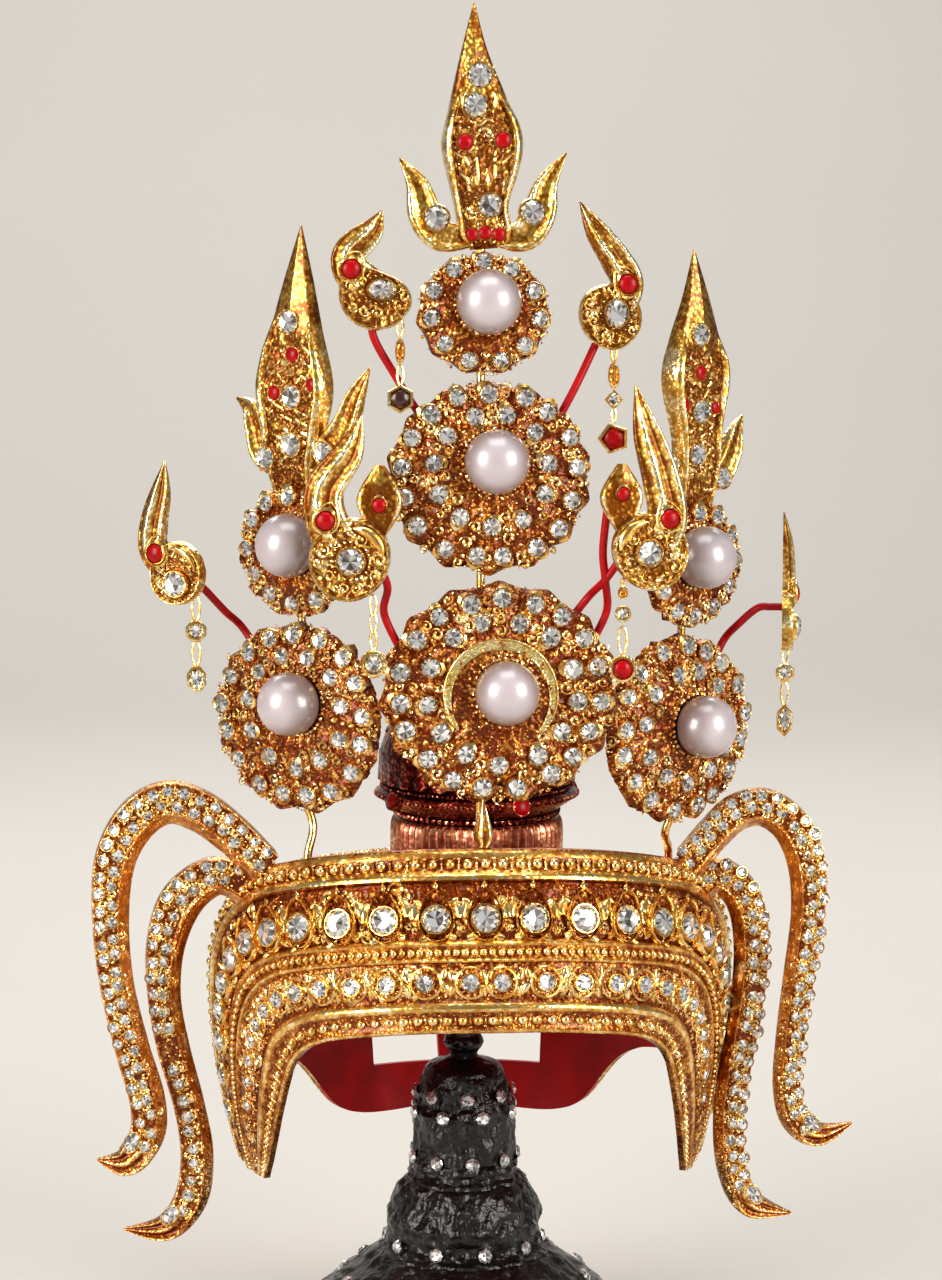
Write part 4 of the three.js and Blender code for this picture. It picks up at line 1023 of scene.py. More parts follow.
piece("frontlet", frontlet(), [cast_gilt, bright_gilt, red_paint], "gilt_metal", "face_frame")
beads, flames, grains, stones = new_mesh(), new_mesh(), new_mesh(), new_mesh()
bead_rows(beads)
frontlet_settings(flames, stones)
frontlet_grains(grains)
for kind, bm in (("beads", beads), ("flames", flames), ("grains", grains)):
    piece(f"frontlet_{kind}", bm, [cast_gilt, bright_gilt], "gilt_metal", "face_frame")
crystals("frontlet_stones", stones)


def back_edge(angle):
    """Height of the back band's lower edge, by the angle from the middle of the back."""
    angle = abs(angle)
    angles = [row["angle"] for row in BACK_EDGE]
    spot = next((i for i in range(1, len(angles)) if angles[i] >= angle), len(angles) - 1)
    station = spot - 1 + (angle - angles[spot - 1]) / (angles[spot] - angles[spot - 1])
    return follow(BACK_EDGE, station, "height")[0]


def arch(width, height):
    """Outline of an arched window, from the sill's right end over to its left one."""
    spring = 0.7 * height
    side = [(width / 2, 0), (width / 2, spring / 2), (width / 2, spring)]
    for i in range(1, 11):
        angle = math.pi / 2 * i / 10
        rise = (height - spring) * math.sin(angle) ** 0.9
        side.append((width / 2 * math.cos(angle), spring + rise))
    return side + [(-x, z) for x, z in reversed(side[:-1])]


BACK_LIFT = -BAND["wall"] - BAND["seat"] - 0.15
BACK_TOP = LID["edge_top"] - LID["wall"] - LID["gap"]


def back_point(angle, height, lift=0.0):
    """A point of the back wall. Angle is from the middle of the back."""
    return wall_point(180 - angle, height, BACK_LIFT + lift)


def window_line(row, grow, lift):
    """Outline of a window on the back wall's outside, grown all round."""
    line = []
    for x, z in arch(row["width"] + 2 * grow, row["height"] + 2 * grow):
        height = row["sill"] - grow + z
        radius = BAND["half_depth"] + swell(height) + BACK_LIFT
        line.append(back_point(row["angle"] + math.degrees(math.asin(x / radius)), height, lift))
    return line


def carve(bm, tools):
    """Cuts tools out of a mesh, and frees them all."""
    objects = []
    for i, source in enumerate([bm] + tools):
        bmesh.ops.recalc_face_normals(source, faces=source.faces[:])
        mesh = bpy.data.meshes.new(f"carving_{i}")
        source.to_mesh(mesh)
        source.free()
        objects.append(bpy.data.objects.new(f"carving_{i}", mesh))
        scene.collection.objects.link(objects[-1])
    body = objects[0]
    for tool in objects[1:]:
        cutter = body.modifiers.new("cut", "BOOLEAN")
        cutter.object, cutter.operation, cutter.solver = tool, "DIFFERENCE", "EXACT"
    bpy.context.view_layer.update()
    evaluated = body.evaluated_get(bpy.context.evaluated_depsgraph_get())
    result = bpy.data.meshes.new_from_object(evaluated)
    carved = new_mesh()
    carved.from_mesh(result)
    for made in objects:
        mesh = made.data
        bpy.data.objects.remove(made)
        bpy.data.meshes.remove(mesh)
    bpy.data.meshes.remove(result)
    return carved


def back_shell():
    """The plain wall, from its lower edge up to the lid and down again inside."""
    shell = bmesh.new()
    rows = 10
    around = 2 * (rows + 1)

    def place(a, t):
        spot = round(a * around) % around
        outside = spot <= rows
        level = spot / rows if outside else 1 - (spot - rows - 1) / rows
        angle = BACK["end"] * (2 * t - 1)
        height = mix(back_edge(angle), BACK_TOP, level)
        return back_point(angle, height, 0 if outside else -BACK["wall"])

    skin(shell, around, 156, place)
    return shell


def window_tool(row):
    """A straight bar with an arched section, which cuts one window out of the wall."""
    tool = bmesh.new()
    rim = [tool.verts.new((x, BAND["half_width"] / 2, row["sill"] + z))
           for x, z in arch(row["width"], row["height"])]
    grown = bmesh.ops.extrude_face_region(tool, geom=[tool.faces.new(rim)])["geom"]
    moved = [item for item in grown if isinstance(item, bmesh.types.BMVert)]
    bmesh.ops.translate(tool, verts=moved, vec=(0, BAND["half_width"], 0))
    tool.transform(Matrix.Rotation(math.radians(-row["angle"]), 4, "Z"))
    return tool


def spread(count, share=1.0):
    """Angles evenly along a share of the back wall, from one end to the other."""
    return [share * BACK["end"] * (2 * i / count - 1) for i in range(count + 1)]


def back_band():
    """The wall with its windows cut and framed, its edges rolled and beaded, its inside painted."""
    band = carve(back_shell(), [window_tool(row) for row in WINDOWS])
    inside = 1 + (BACK_LIFT - 0.7 * BACK["wall"]) / BAND["half_width"]
    for face in band.faces:
        face.material_index = 2 if wall_share(face.calc_center_median()) < inside else 0
    for row in WINDOWS:
        sweep(band, window_line(row, 0.9, 0.5), 0.9, sides=6, closed=True, material=1)
        for spot in window_line(row, 3.0, 0.3):
            dot(band, spot, 0.9)
    lower = [back_point(angle, back_edge(angle) + 1.2, 0.4) for angle in spread(200)]
    sweep(band, lower, 1.1, sides=6, material=1)
    for spot in lower:
        dot(band, spot + Vector((0, 0, 3)), 1.0)
    for angle in spread(149, 0.93):
        dot(band, back_point(angle, BACK_TOP - 5, 0.2), 1.1)
    upper = [back_point(angle, BACK_TOP - 8, 0.2) for angle in spread(200, 0.95)]
    sweep(band, upper, 0.8, sides=6, material=1)
    return band


piece("back_wall", back_band(), [cast_gilt, bright_gilt, red_paint], "gilt_metal", "back_band")


# ---------------------------------------------------------------- lid and topknot


LID_GROW = swell(LID["edge_top"]) - BAND["wall"] - BAND["seat"]
LID_RADIUS = BAND["half_width"] + LID_GROW
LID_RINGS = table("share size", (0.62, 1.1), (0.97, 1.0))
LID_LEAVES = table("share size phase", (0.65, 15, 0), (0.8, 13, 0.5))


def lid_height(share):
    """Height of the lid's top, by the share of its radius."""
    fall = max(0, (share - LID["flat_part"]) / (1 - LID["flat_part"]))
    return mix(LID["flat_top"], LID["edge_top"], fall)


def lid():
    """A flat cap with a falling border, dressed with granules and flat leaves along its slope."""
    bm = new_mesh()
    top, edge, wall = LID["flat_top"], LID["edge_top"], LID["wall"]
    flat = LID["flat_part"] * LID_RADIUS
    outline = [(0, top), (flat, top)]
    outline += [(mix(flat, LID_RADIUS, i / 24), mix(top, edge, i / 24)) for i in range(1, 25)]
    outline += [(LID_RADIUS, edge - wall), (flat, top - wall), (0, top - wall)]
    turn(bm, outline, 120)
    for face in bm.faces:
        middle = face.calc_center_median()
        if middle.z < lid_height(middle.xy.length / LID_RADIUS) - 0.6 * wall:
            face.material_index = 2
    for row in LID_RINGS:
        away = row["share"] * LID_RADIUS
        for x, y in circle(int(FULL * away / 2.6), away):
            dot(bm, (x, y, lid_height(row["share"]) - 0.1), row["size"])
    for k in range(36):
        for row in LID_LEAVES:
            away, turn_by = row["share"] * LID_RADIUS, FULL * (k + row["phase"]) / 36
            out = Vector((math.sin(turn_by), math.cos(turn_by), (edge - top) / (LID_RADIUS - flat)))
            normal = Vector((-out.x * out.z, -out.y * out.z, 1))
            foot = Vector((away * out.x, away * out.y, lid_height(row["share"]) - 0.2))
            place = seat(foot, normal, out, row["size"])
            stamp(bm, leaflet, place @ Matrix.Diagonal((1, 1, 0.12, 1)))
    bmesh.ops.scale(bm, vec=(1, (BAND["half_depth"] + LID_GROW) / LID_RADIUS, 1), verts=bm.verts[:])
    return bm


piece("lid", lid(), [cast_gilt, bright_gilt, red_paint], "gilt_metal", "crown_lid")

# Fluted is 1 where the ring has its flutes, and hollow is how deep its painted shade lies.
TOPKNOT = table(
    "radius height fluted hollow",
    (29.5, 0, 0, 0.5), (30.6, 0.8, 0, 0.1), (31, 1.8, 0, 0.0), (30.3, 3, 0, 0.6),
    (30.2, 4, 1, 0.3), (30.9, 7, 1, 0.1), (31, 12, 1, 0.1), (30.9, 17, 1, 0.1),
    (30.2, 19.4, 1, 0.3), (29.6, 20, 0, 0.8), (28.8, 21.2, 0, 1.0), (28.8, 22.6, 0, 0.9),
    (30.2, 23.4, 0, 0.4), (31.8, 24.6, 0, 0.1), (34.2, 26.2, 0, 0.1), (36.0, 27.8, 0, 0.0),
    (36.5, 28.8, 0, 0.0), (36, 29.9, 0, 0.2), (34.4, 31.2, 0, 0.8), (34.2, 32.6, 0, 0.8),
    (35.2, 35, 0, 0.4), (35.6, 39, 0, 0.2), (35.2, 44, 0, 0.2), (33.5, 49, 0, 0.2),
    (31.2, 54.2, 0, 0.2), (27.6, 59.4, 0, 0.3), (22.5, 63.6, 0, 0.3), (16, 66.6, 0, 0.4),
    (8, 67.2, 0, 0.5), (0, 67.3, 0, 0.5),
)


TOPKNOT_RINGS = table("radius height size count", (29.4, 22, 1.3, 72), (36.6, 28.6, 0.9, 120),
                      (34.6, 31.8, 0.8, 120))
RING_TOP = 20.5  # the fluted ring's


def topknot():
    """A fluted ring, a moulded bowl with two rows of leaves, and a low bud."""
    bm, stones = new_mesh(), new_mesh()
    last = len(TOPKNOT) - 1

    def place(a, t):
        radius, height, fluted = follow(TOPKNOT, last * t, "radius", "height", "fluted")
        wave = 0.45 * min(1, max(0, fluted)) * math.cos(COLLAR["flutes"] * FULL * a)
        radius = max(0, radius + wave)
        return Vector((radius * math.sin(FULL * a), -radius * math.cos(FULL * a), height))

    # Painted shade deepens in the grooves between the flutes.
    def tone(a, t):
        low, fluted = follow(TOPKNOT, last * t, "hollow", "fluted")
        return low + 0.45 * fluted * (0.5 - 0.5 * math.cos(COLLAR["flutes"] * FULL * a))

    skin(bm, 6 * COLLAR["flutes"], 3 * last, place, 0, tone)
    for face in bm.faces:
        if face.calc_center_median().z < RING_TOP:
            face.material_index = 2
    for row in TOPKNOT_RINGS:
        for x, y in circle(row["count"], row["radius"]):
            dot(bm, (x, y, row["height"]), row["size"])
    for angle in turns(28):
        out = out_at(angle)
        lower = seat(out * 34.9 + UP * 33.5, out, UP, 11)
        stamp(bm, leaflet, lower @ Matrix.Diagonal((0.9, 1, 0.35, 1)))
        upper = seat(out * 32.6 + UP * 50.5, out + UP * 0.8, UP * 0.75 - out * 0.66, 12)
        stamp(bm, leaflet, upper @ Matrix.Diagonal((0.7, 1, 0.3, 1)))
    for angle in (-60, 22, 100, 180):
        out = out_at(math.radians(angle), 0.25)
        foot = seat(Vector((out.x * 35.6, out.y * 35.6, 28.4)), out, size=3.3)
        stamp(bm, bezel, foot)
        stamp(stones, cabochon, foot)
    for mesh in (bm, stones):
        mesh.transform(Matrix.Translation((COLLAR["x"], COLLAR["y"], LID["flat_top"] + LID["gap"])))
    piece("topknot", bm, [red_gilt, red_gilt, rose_gilt], "red_gold", "topknot_collar")
    reds("topknot_stones", stones)


topknot()


# ---------------------------------------------------------------- cast leaves and flames


def run_along(rows, station):
    """The way along a leaf's rows, across and up."""
    before = follow(rows, station - 0.05, "x", "height")
    after = follow(rows, station + 0.05, "x", "height")
    return Vector((after[0] - before[0], after[1] - before[1])).normalized()


def leaf(bm, rows, relief, low, around=28, along=36, material=0, back=0.0, chased=None):
    """A cast leaf along rows of the xz plane, with its back at y = -back. relief(across, share) is
    the share of its depth that stands there, low its tone of painted shade and chased how deep it
    is chased."""
    last = len(rows) - 1
    front = 0.86  # share of the way round that the front takes

    def place(a, t):
        x, height, half, depth = follow(rows, last * t, "x", "height", "half", "depth")
        run = run_along(rows, last * t)
        if a <= front:
            across = across_of(a)
            rise = relief(across, t) * abs(depth)
            if chased:
                rise += chased(across, t) * chasing(x + across * half, height, last)
        else:
            across = 1 - 2 * (a - front) / (1 - front)
            rise = 0
        reach = across * abs(half)
        return Vector((x + reach * run.y, -rise - back, height - reach * run.x))

    def across_of(a):
        return math.sin(math.pi * (min(a, front) / front - 0.5))

    def finish_of(a, t):
        return material(across_of(a), t) if callable(material) else material

    def tone(a, t):
        across = across_of(a)
        deep = low(across, t)
        if chased:
            x, height, half = follow(rows, last * t, "x", "height", "half")
            ridge = chasing(x + across * half, height, last) - 0.25
            # Chased ridges are painted lighter, as highlight.
            deep -= 0.9 * min(1, chased(across, t)) * ridge
        return deep

    skin(bm, around, along, place, finish_of, tone)


def side_fall(across):
    """How a casting's edge falls to its back."""
    return (1 - abs(across) ** 12) ** 0.4


def framed(across, share):
    """A raised border round a sunk field, and a plain crest near the tip."""
    border = ease(0.7, 0.8, abs(across)) * (1 - 0.5 * ease(0.93, 1.0, abs(across)))
    field = 0.66 + 0.34 * border
    crest = 0.9 - 0.3 * abs(across)
    return side_fall(across) * mix(field, crest, ease(0.6, 0.72, share))


def framed_low(across, share):
    """Its tone: painted shade deep in the field, painted highlight on the border and the crest."""
    field = 1 - ease(0.66, 0.8, abs(across))
    return mix(0.85 * field, 0.3 + 0.3 * abs(across), ease(0.6, 0.72, share))


def field_chased(across, share):
    """The sunk field alone is chased, and not at its very foot."""
    inside = (1 - ease(0.66, 0.74, abs(across))) * (1 - ease(0.62, 0.7, share))
    return 1.2 * inside * ease(0.02, 0.08, share)


def flutes(across, share):
    """A wave across a leaf whose flutes draw together towards its tip."""
    return math.cos(2.1 * math.pi * (across + 0.25) * (1 - 0.2 * share))


def grooved(across, share):
    """Long flutes that run to the tip."""
    return side_fall(across) * (0.8 + 0.2 * flutes(across, share))


def grooved_low(across, share):
    """Their tone: painted highlight on the crests between them, painted shade in the flutes."""
    return 0.25 - 0.5 * flutes(across, share)


def channelled(across, share):
    """One broad flute between two crests."""
    return side_fall(across) * (0.68 + 0.32 * ease(0.25, 0.75, abs(across)))


def channelled_low(across, share):
    """Its tone: painted shade deep in the middle."""
    return 0.5 * (1 - ease(0.2, 0.75, abs(across)))


def rim_flame():
    """The small leaf in the middle of the rim."""
    bm = new_mesh()
    rows = table(LEAF_COLUMNS, (0, 0, 2, 2), (0, 4, 3.5, 3), (0, 9, 2.4, 2.4), (0, 16.5, 0.3, 0.4))
    leaf(bm, rows, grooved, grooved_low)
    foot = frontlet_point(0, 0, 0.2 - BAND["wall"] / 2)
    bm.transform(Matrix.Translation((foot.x, foot.y + 1, foot.z + CLEARANCE)))
    return bm


piece("rim_leaf", rim_flame(), [leaf_gilt], "gilt_metal", "rim_flame")


FIELD_DEPTH = 0.62  # share of a spire's depth at which its field lies
FLAME_STONE_LIFT = 3.6


def spire_point(body, station, across, lift=0.0):
    """A point on a spire's chased field."""
    x, height, half, depth = follow(body, station, "x", "height", "half", "depth")
    return Vector((x + across * half, -FIELD_DEPTH * depth - lift, height))


def chased_stroke(gold, points, thin, thick, power):
    """A bright stroke through a few points, thickest in its middle."""
    sweep(gold, smooth_path(points, 16), lambda t: thin + thick * math.sin(math.pi * t) ** power, 8,
          side=FRONT, squash=0.9, material=1)


def drawn_strokes(gold, spec):
    """The strokes given for a spire, laid on its field."""
    body = spec["body"]
    for line in spec["strokes"]:
        points = []
        for x, height in line:
            level = next(i for i in range(1, len(body)) if body[i]["height"] >= height)
            step = body[level]["height"] - body[level - 1]["height"]
            station = level - (body[level]["height"] - height) / step
            middle, half = follow(body, station, "x", "half")
            points.append((x, spire_point(body, station, (x - middle) / half, 0.2).y, height))
        chased_stroke(gold, points, 0.15, 0.7, 0.7)


def wound_strokes(gold, body):
    """Flame strokes that wind up both sides of a spire's field."""
    count, widest = COUNTS["wound_strokes"], 0.62
    for k in range(count):
        side = 1 if k % 2 else -1
        station, across = 0.9 + 2.7 * k / count, side * chance.uniform(0.12, 0.5)
        bend = chance.uniform(0.12, 0.3) * chance.choice((-1, 1))
        points = []
        for i in range(4):
            place = max(-widest, min(widest, across + bend * math.sin(1.7 * i)))
            points.append(spire_point(body, station + 0.11 * i, place, 0.2))
        chased_stroke(gold, points, 0.12, 0.62, 0.8)


def spire(name, spec, holder):
    """A tower's flame finial with its two side flames, strokes, flecks and stones."""
    gold, white, red = new_mesh(), new_mesh(), new_mesh()
    body = spec["body"]
    leaf(gold, body, framed, framed_low, 96, 150, chased=field_chased)
    for rows in spec["flames"]:
        leaf(gold, rows, channelled, channelled_low, 28, 44, back=0.15)
    if "strokes" in spec:
        drawn_strokes(gold, spec)
    else:
        wound_strokes(gold, body)
    for k in range(COUNTS["spire_flecks"]):
        station = chance.uniform(0.8, 3.7)
        half = follow(body, station, "half")[0]
        spot = spire_point(body, station, chance.uniform(-0.66, 0.66))
        if k % 2:
            size, roll = chance.uniform(1.5, 1.5 + 0.13 * half), chance.uniform(-1.3, 1.3)
            shape = chance.choice((leaflet, leaflet, volute))
            stamp(gold, shape, seat(spot, FRONT, UP, size, roll))
        else:
            dot(gold, spot, chance.uniform(0.3, 0.6))
    for kind, row in [(kind, row) for kind in ("white", "red") for row in spec[kind]]:
        inside = min(body, key=lambda step: abs(step["height"] - row["height"]))
        on_body = abs(row["x"] - inside["x"]) < inside["half"]
        lift = (FIELD_DEPTH + 0.04) * inside["depth"] if on_body else FLAME_STONE_LIFT
        place = seat(Vector((row["x"], -lift, row["height"])), FRONT, UP)
        if kind == "white":
            set_stone(gold, white, place, row["radius"])
        else:
            stamp(gold, bezel, place @ Matrix.Scale(row["radius"], 4))
            stamp(red, cabochon, place @ Matrix.Scale(row["radius"], 4))
        if on_body:
            for x, y in circle(12, 1.3 * row["radius"]):
                stamp(gold, granule, place_at(place, x, y, 0.45))
    for bm in (gold, white, red):
        bm.transform(holder)
    piece(f"spire_leaf_{name}", gold, [leaf_gilt, bright_gilt], "gilt_metal", f"spire_{name}")
    crystals(f"spire_crystals_{name}", white)
    reds(f"spire_reds_{name}", red)


holders = {name: turned_frame(row["x"], row["y"], 0, row["turn"]) for name, row in TOWERS.items()}
for name, spec in SPIRES.items():
    spire(name, spec, holders[name])


# ---------------------------------------------------------------- rosettes and pearls

CRESCENT = {"radius": 18.4, "half": 2.2, "x": -1.95, "height": -1.9, "first": -128, "last": 137}
FLOWER_FRONT = 0.9  # share of the way from the middle of the front to that of the back
# Rings of granules round each pearl, by how far outside it they lie.
PEARL_RINGS = table("gap count size", (0.7, 34, 0.95), (2.3, 32, 0.75), (3.7, 34, 0.6))


def crescent(gold, middle):
    """A flat ribbon with a raised outer edge that curves round the pearl and is open below."""
    front = 0.72  # share of the way round that the front takes

    def place(a, t):
        angle = math.radians(mix(CRESCENT["first"], CRESCENT["last"], t))
        half = CRESCENT["half"] * max(0, math.sin(math.pi * t)) ** 0.4
        across = 2 * a / front - 1 if a <= front else 1 - 2 * (a - front) / (1 - front)
        edges = 0.55 * ease(0.45, 0.7, across) + 0.2 * ease(0.6, 0.9, -across)
        rise = (0.9 + edges) * side_fall(across) if a <= front else 0
        away = CRESCENT["radius"] + across * half
        return middle + Vector((CRESCENT["x"] + away * math.sin(angle), 0.9 - rise,
                                CRESCENT["height"] + away * math.cos(angle)))

    skin(gold, 22, 120, place, 2)


def rosette(row):
    """A domed flower of one casting: stones in pointed settings round a half pearl."""
    gold, stones = new_mesh(), new_mesh()
    radius, tall, petals = row["radius"], row["tall"], row["petals"]
    pearl = PEARL["radius"] / radius

    def spot_of(angle, share):
        """Across and up from the rosette's centre. The pearl's offset fades towards the edge."""
        away = share * radius
        fade = 1 - share
        return (row["shift"] * fade + away * math.sin(angle),
                row["lift"] * fade + mix(tall, 1, fade) * away * math.cos(angle))

    def depth_of(angle, share):
        """How far the dome stands out, with a swell for each petal and each inner stone."""
        dome = mix(6.4, 3.4, ease(pearl, 1, share))
        outer = math.cos(petals * angle) * ease(0.5, 0.8, share)
        inner_part = ease(0.3, 0.5, share) * (1 - ease(0.6, 0.72, share))
        inner = math.cos(row["inner"] * angle) * inner_part
        return dome + 0.9 * outer + 0.8 * inner - 2.6 * ease(0.93, 1.0, share)

    def ground(angle, share, lift):
        """A point of the dome, by lift above it."""
        x, z = spot_of(angle, share)
        return Vector((x, -depth_of(angle, share) - lift, z))

    def chased(angle, share):
        """The chaser's relief there."""
        x, z = spot_of(angle, share)
        return chasing(x, z, row["height"])

    def place(a, t):
        angle = FULL * a
        if t > FLOWER_FRONT:
            share, depth = 1 - (t - FLOWER_FRONT) / (1 - FLOWER_FRONT), 0
        else:
            share = t / FLOWER_FRONT
            way = Vector((math.sin(angle), math.cos(angle), row["height"]))
            rough = 0.4 * noise.noise(way * share * radius * 0.5) + 0.8 * chased(angle, share)
            depth = depth_of(angle, share) + rough * ease(pearl, pearl + 0.1, share)
        scallop = 1 - 0.06 * (0.5 - 0.5 * math.cos(petals * angle)) ** 0.7 * ease(0.7, 1, share)
        x, z = spot_of(angle, share * scallop)
        return Vector((x, -depth, z))

    # Painted shade over the dome, darker between the petals, lighter on chased ridges and at the
    # very rim.
    def tone(a, t):
        share = t / FLOWER_FRONT
        petal = 0.5 - 0.5 * math.cos(petals * FULL * a)
        low = 0.85 + 0.15 * petal * ease(0.4, 0.8, share) - 0.85 * chased(FULL * a, min(1, share))
        return low - 0.3 * ease(0.95, 1.0, share)

    skin(gold, round(7 * radius), round(1.3 * radius), place, 0, tone)

    taken = []
    rings = ((row["outer"], row["outer_at"], 0.0), (row["inner"], row["inner_at"], 0.5))
    for count, share, phase in rings:
        for k, turn_by in enumerate(turns(count, phase)):
            angle = turn_by + chance.uniform(-0.04, 0.04)
            reach = share * chance.uniform(0.97, 1.03)
            x, z = spot_of(angle, reach)
            outward = Vector((math.sin(angle) * 0.16, -1, math.cos(angle) * 0.16))
            way = Vector((math.sin(angle), 0, math.cos(angle)))
            foot = seat(ground(angle, reach, 0.2), outward, way)
            size = row["stone"] * chance.uniform(0.93, 1.05)
            # Most inner settings point inwards.
            spin_by = chance.uniform(-0.8, 0.8) + (math.pi if phase and k % 3 else 0)
            setting = foot @ Matrix.Rotation(spin_by, 4, "Z") @ Matrix.Scale(size, 4)
            stamp(gold, cup, setting)
            stamp(stones, fine_brilliant, setting @ Matrix.Rotation(chance.random() * FULL, 4, "Z"))
            taken.append((x, z, 1.2 * size))
            # Chased flecks in the gap towards the next setting.
            between = angle + math.pi / count
            for near in (-0.09, 0.02, 0.1):
                if reach + near <= 0.95:
                    spot = ground(between, reach + near, 0.3)
                    fleck = seat(spot, outward, way, chance.uniform(1.6, 2.6),
                                 chance.uniform(-1.4, 1.4))
                    stamp(gold, chance.choice((leaflet, volute)), fleck)
    for _ in range(int(0.5 * radius * radius)):
        angle, share = FULL * chance.random(), mix(pearl * 1.1, 0.96, math.sqrt(chance.random()))
        x, z = spot_of(angle, share)
        if all(math.hypot(x - cx, z - cz) > reach for cx, cz, reach in taken):
            dot(gold, ground(angle, share, 0.1), chance.uniform(0.28, 0.66))
    middle = Vector((row["shift"], -PEARL["seat"] - 0.1, row["lift"]))
    for ring in PEARL_RINGS:
        for k in range(ring["count"]):
            angle = FULL * (k + chance.uniform(-0.25, 0.25)) / ring["count"]
            away = PEARL["radius"] + ring["gap"] + chance.uniform(-0.3, 0.3) * (ring["gap"] > 1)
            beside = Vector((math.sin(angle) * away, 0.35 * ring["gap"] - 0.2,
                             math.cos(angle) * away))
            dot(gold, middle + beside, ring["size"] * chance.uniform(0.8, 1.1))
    name = f"{row['tower']}_{row['level']}"
    if name == "centre_low":
        crescent(gold, middle)
    for bm in (gold, stones):
        bm.transform(holders[row["tower"]] @ Matrix.Translation((row["x"], 0, row["height"])))
    piece(f"flower_{name}", gold, [cast_gilt, bright_gilt, pale_gilt], "gilt_metal",
          f"rosette_{name}")
    crystals(f"flower_crystals_{name}", stones)


def half_pearl(row):
    """A little more than half a ball, cut flat where it sits and a little wider than it is deep."""
    bm = new_mesh()
    bmesh.ops.create_uvsphere(bm, u_segments=48, v_segments=28, radius=PEARL["radius"])
    cut = bmesh.ops.bisect_plane(bm, geom=bm.verts[:] + bm.edges[:] + bm.faces[:], dist=0.0001,
                                 plane_co=(0, PEARL["radius"] - PEARL["sunk"], 0),
                                 plane_no=(0, 1, 0), clear_outer=True)["geom_cut"]
    rim = [item for item in cut if isinstance(item, bmesh.types.BMEdge)]
    bmesh.ops.holes_fill(bm, edges=rim, sides=0)
    seat_shade = bm.verts.layers.float["hollow"]
    # Painted shade towards the rim, where the pearl meets its seat.
    for vert in bm.verts:
        vert[seat_shade] = 0.9 * ease(0.55, 1.0, math.hypot(vert.co.x, vert.co.z) / PEARL["radius"])
    bmesh.ops.scale(bm, vec=(1.05, 1, 1.05), verts=bm.verts[:])
    middle = (row["x"] + row["shift"], -PEARL["seat"] - CLEARANCE - PEARL["radius"] + PEARL["sunk"],
              row["height"] + row["lift"])
    bm.transform(holders[row["tower"]] @ Matrix.Translation(middle))
    name = f"{row['tower']}_{row['level']}"
    piece(f"half_pearl_{name}", bm, [nacre], "pearl_white", f"pearl_{name}")


for row in ROSETTES:
    rosette(row)
    half_pearl(row)


# ---------------------------------------------------------------- side arms

# Rows of stones along each arm, from its concave side (-1) to its convex side (1).
ARM_ROWS = {
    "left_outer": table("across first last", (0.55, 0.03, 0.87), (-0.06, 0.06, 0.87)),
    "left_inner": table("across first last", (0.64, 0.05, 0.52), (0.02, 0.08, 0.52),
                        (0.25, 0.55, 0.86)),
    "right_outer": table("across first last", (0.72, 0.03, 0.87), (0.14, 0.06, 0.87)),
    "right_inner": table("across first last", (0.72, 0.03, 0.87), (0.14, 0.06, 0.85)),
}


LET_IN_BELOW = 208  # height below which an arm's end is let into the wall
FLECKS_TO = 0.62  # share of the arm's half width that scrolls and leaves keep to


def hook_share(share):
    """How far the plain bar has become the fluted hook."""
    return ease(ARM["hook_from"] - 0.04, ARM["hook_from"] + 0.02, share)


def arm_relief(convex, share):
    """Depth across an arm, from its concave side's smooth wall to its convex side's border."""
    wall = ease(-1.05, -0.5, convex)
    ridge = math.exp(-((convex + 0.46) / 0.07) ** 2) + math.exp(-((convex - 0.92) / 0.06) ** 2)
    bar = mix(0.3, 0.78, wall) + 0.16 * ridge
    hook = 0.74 + 0.12 * math.cos(2.5 * math.pi * convex)
    return side_fall(convex) * mix(bar, hook, hook_share(share))


def arm_low(convex, share):
    """Its tone: painted shade deep between wall and border."""
    field = ease(-0.42, -0.34, convex) * (1 - ease(0.82, 0.88, convex))
    hook = 0.3 - 0.4 * math.cos(2.5 * math.pi * convex)
    return mix(0.1 + 0.6 * field, hook, hook_share(share))


def let_into_wall(bm):
    """Takes away what lies deep inside the wall, and closes the cuts."""
    depth = 1.4
    within = [vert for vert in bm.verts
              if vert.co.z < LET_IN_BELOW and wall_share(vert.co) < 1 - depth / BAND["half_width"]]
    bmesh.ops.delete(bm, geom=within, context="VERTS")
    bmesh.ops.holes_fill(bm, edges=[edge for edge in bm.edges if edge.is_boundary], sides=0)
    loose = [vert for vert in bm.verts if not vert.link_faces]
    bmesh.ops.delete(bm, geom=loose, context="VERTS")


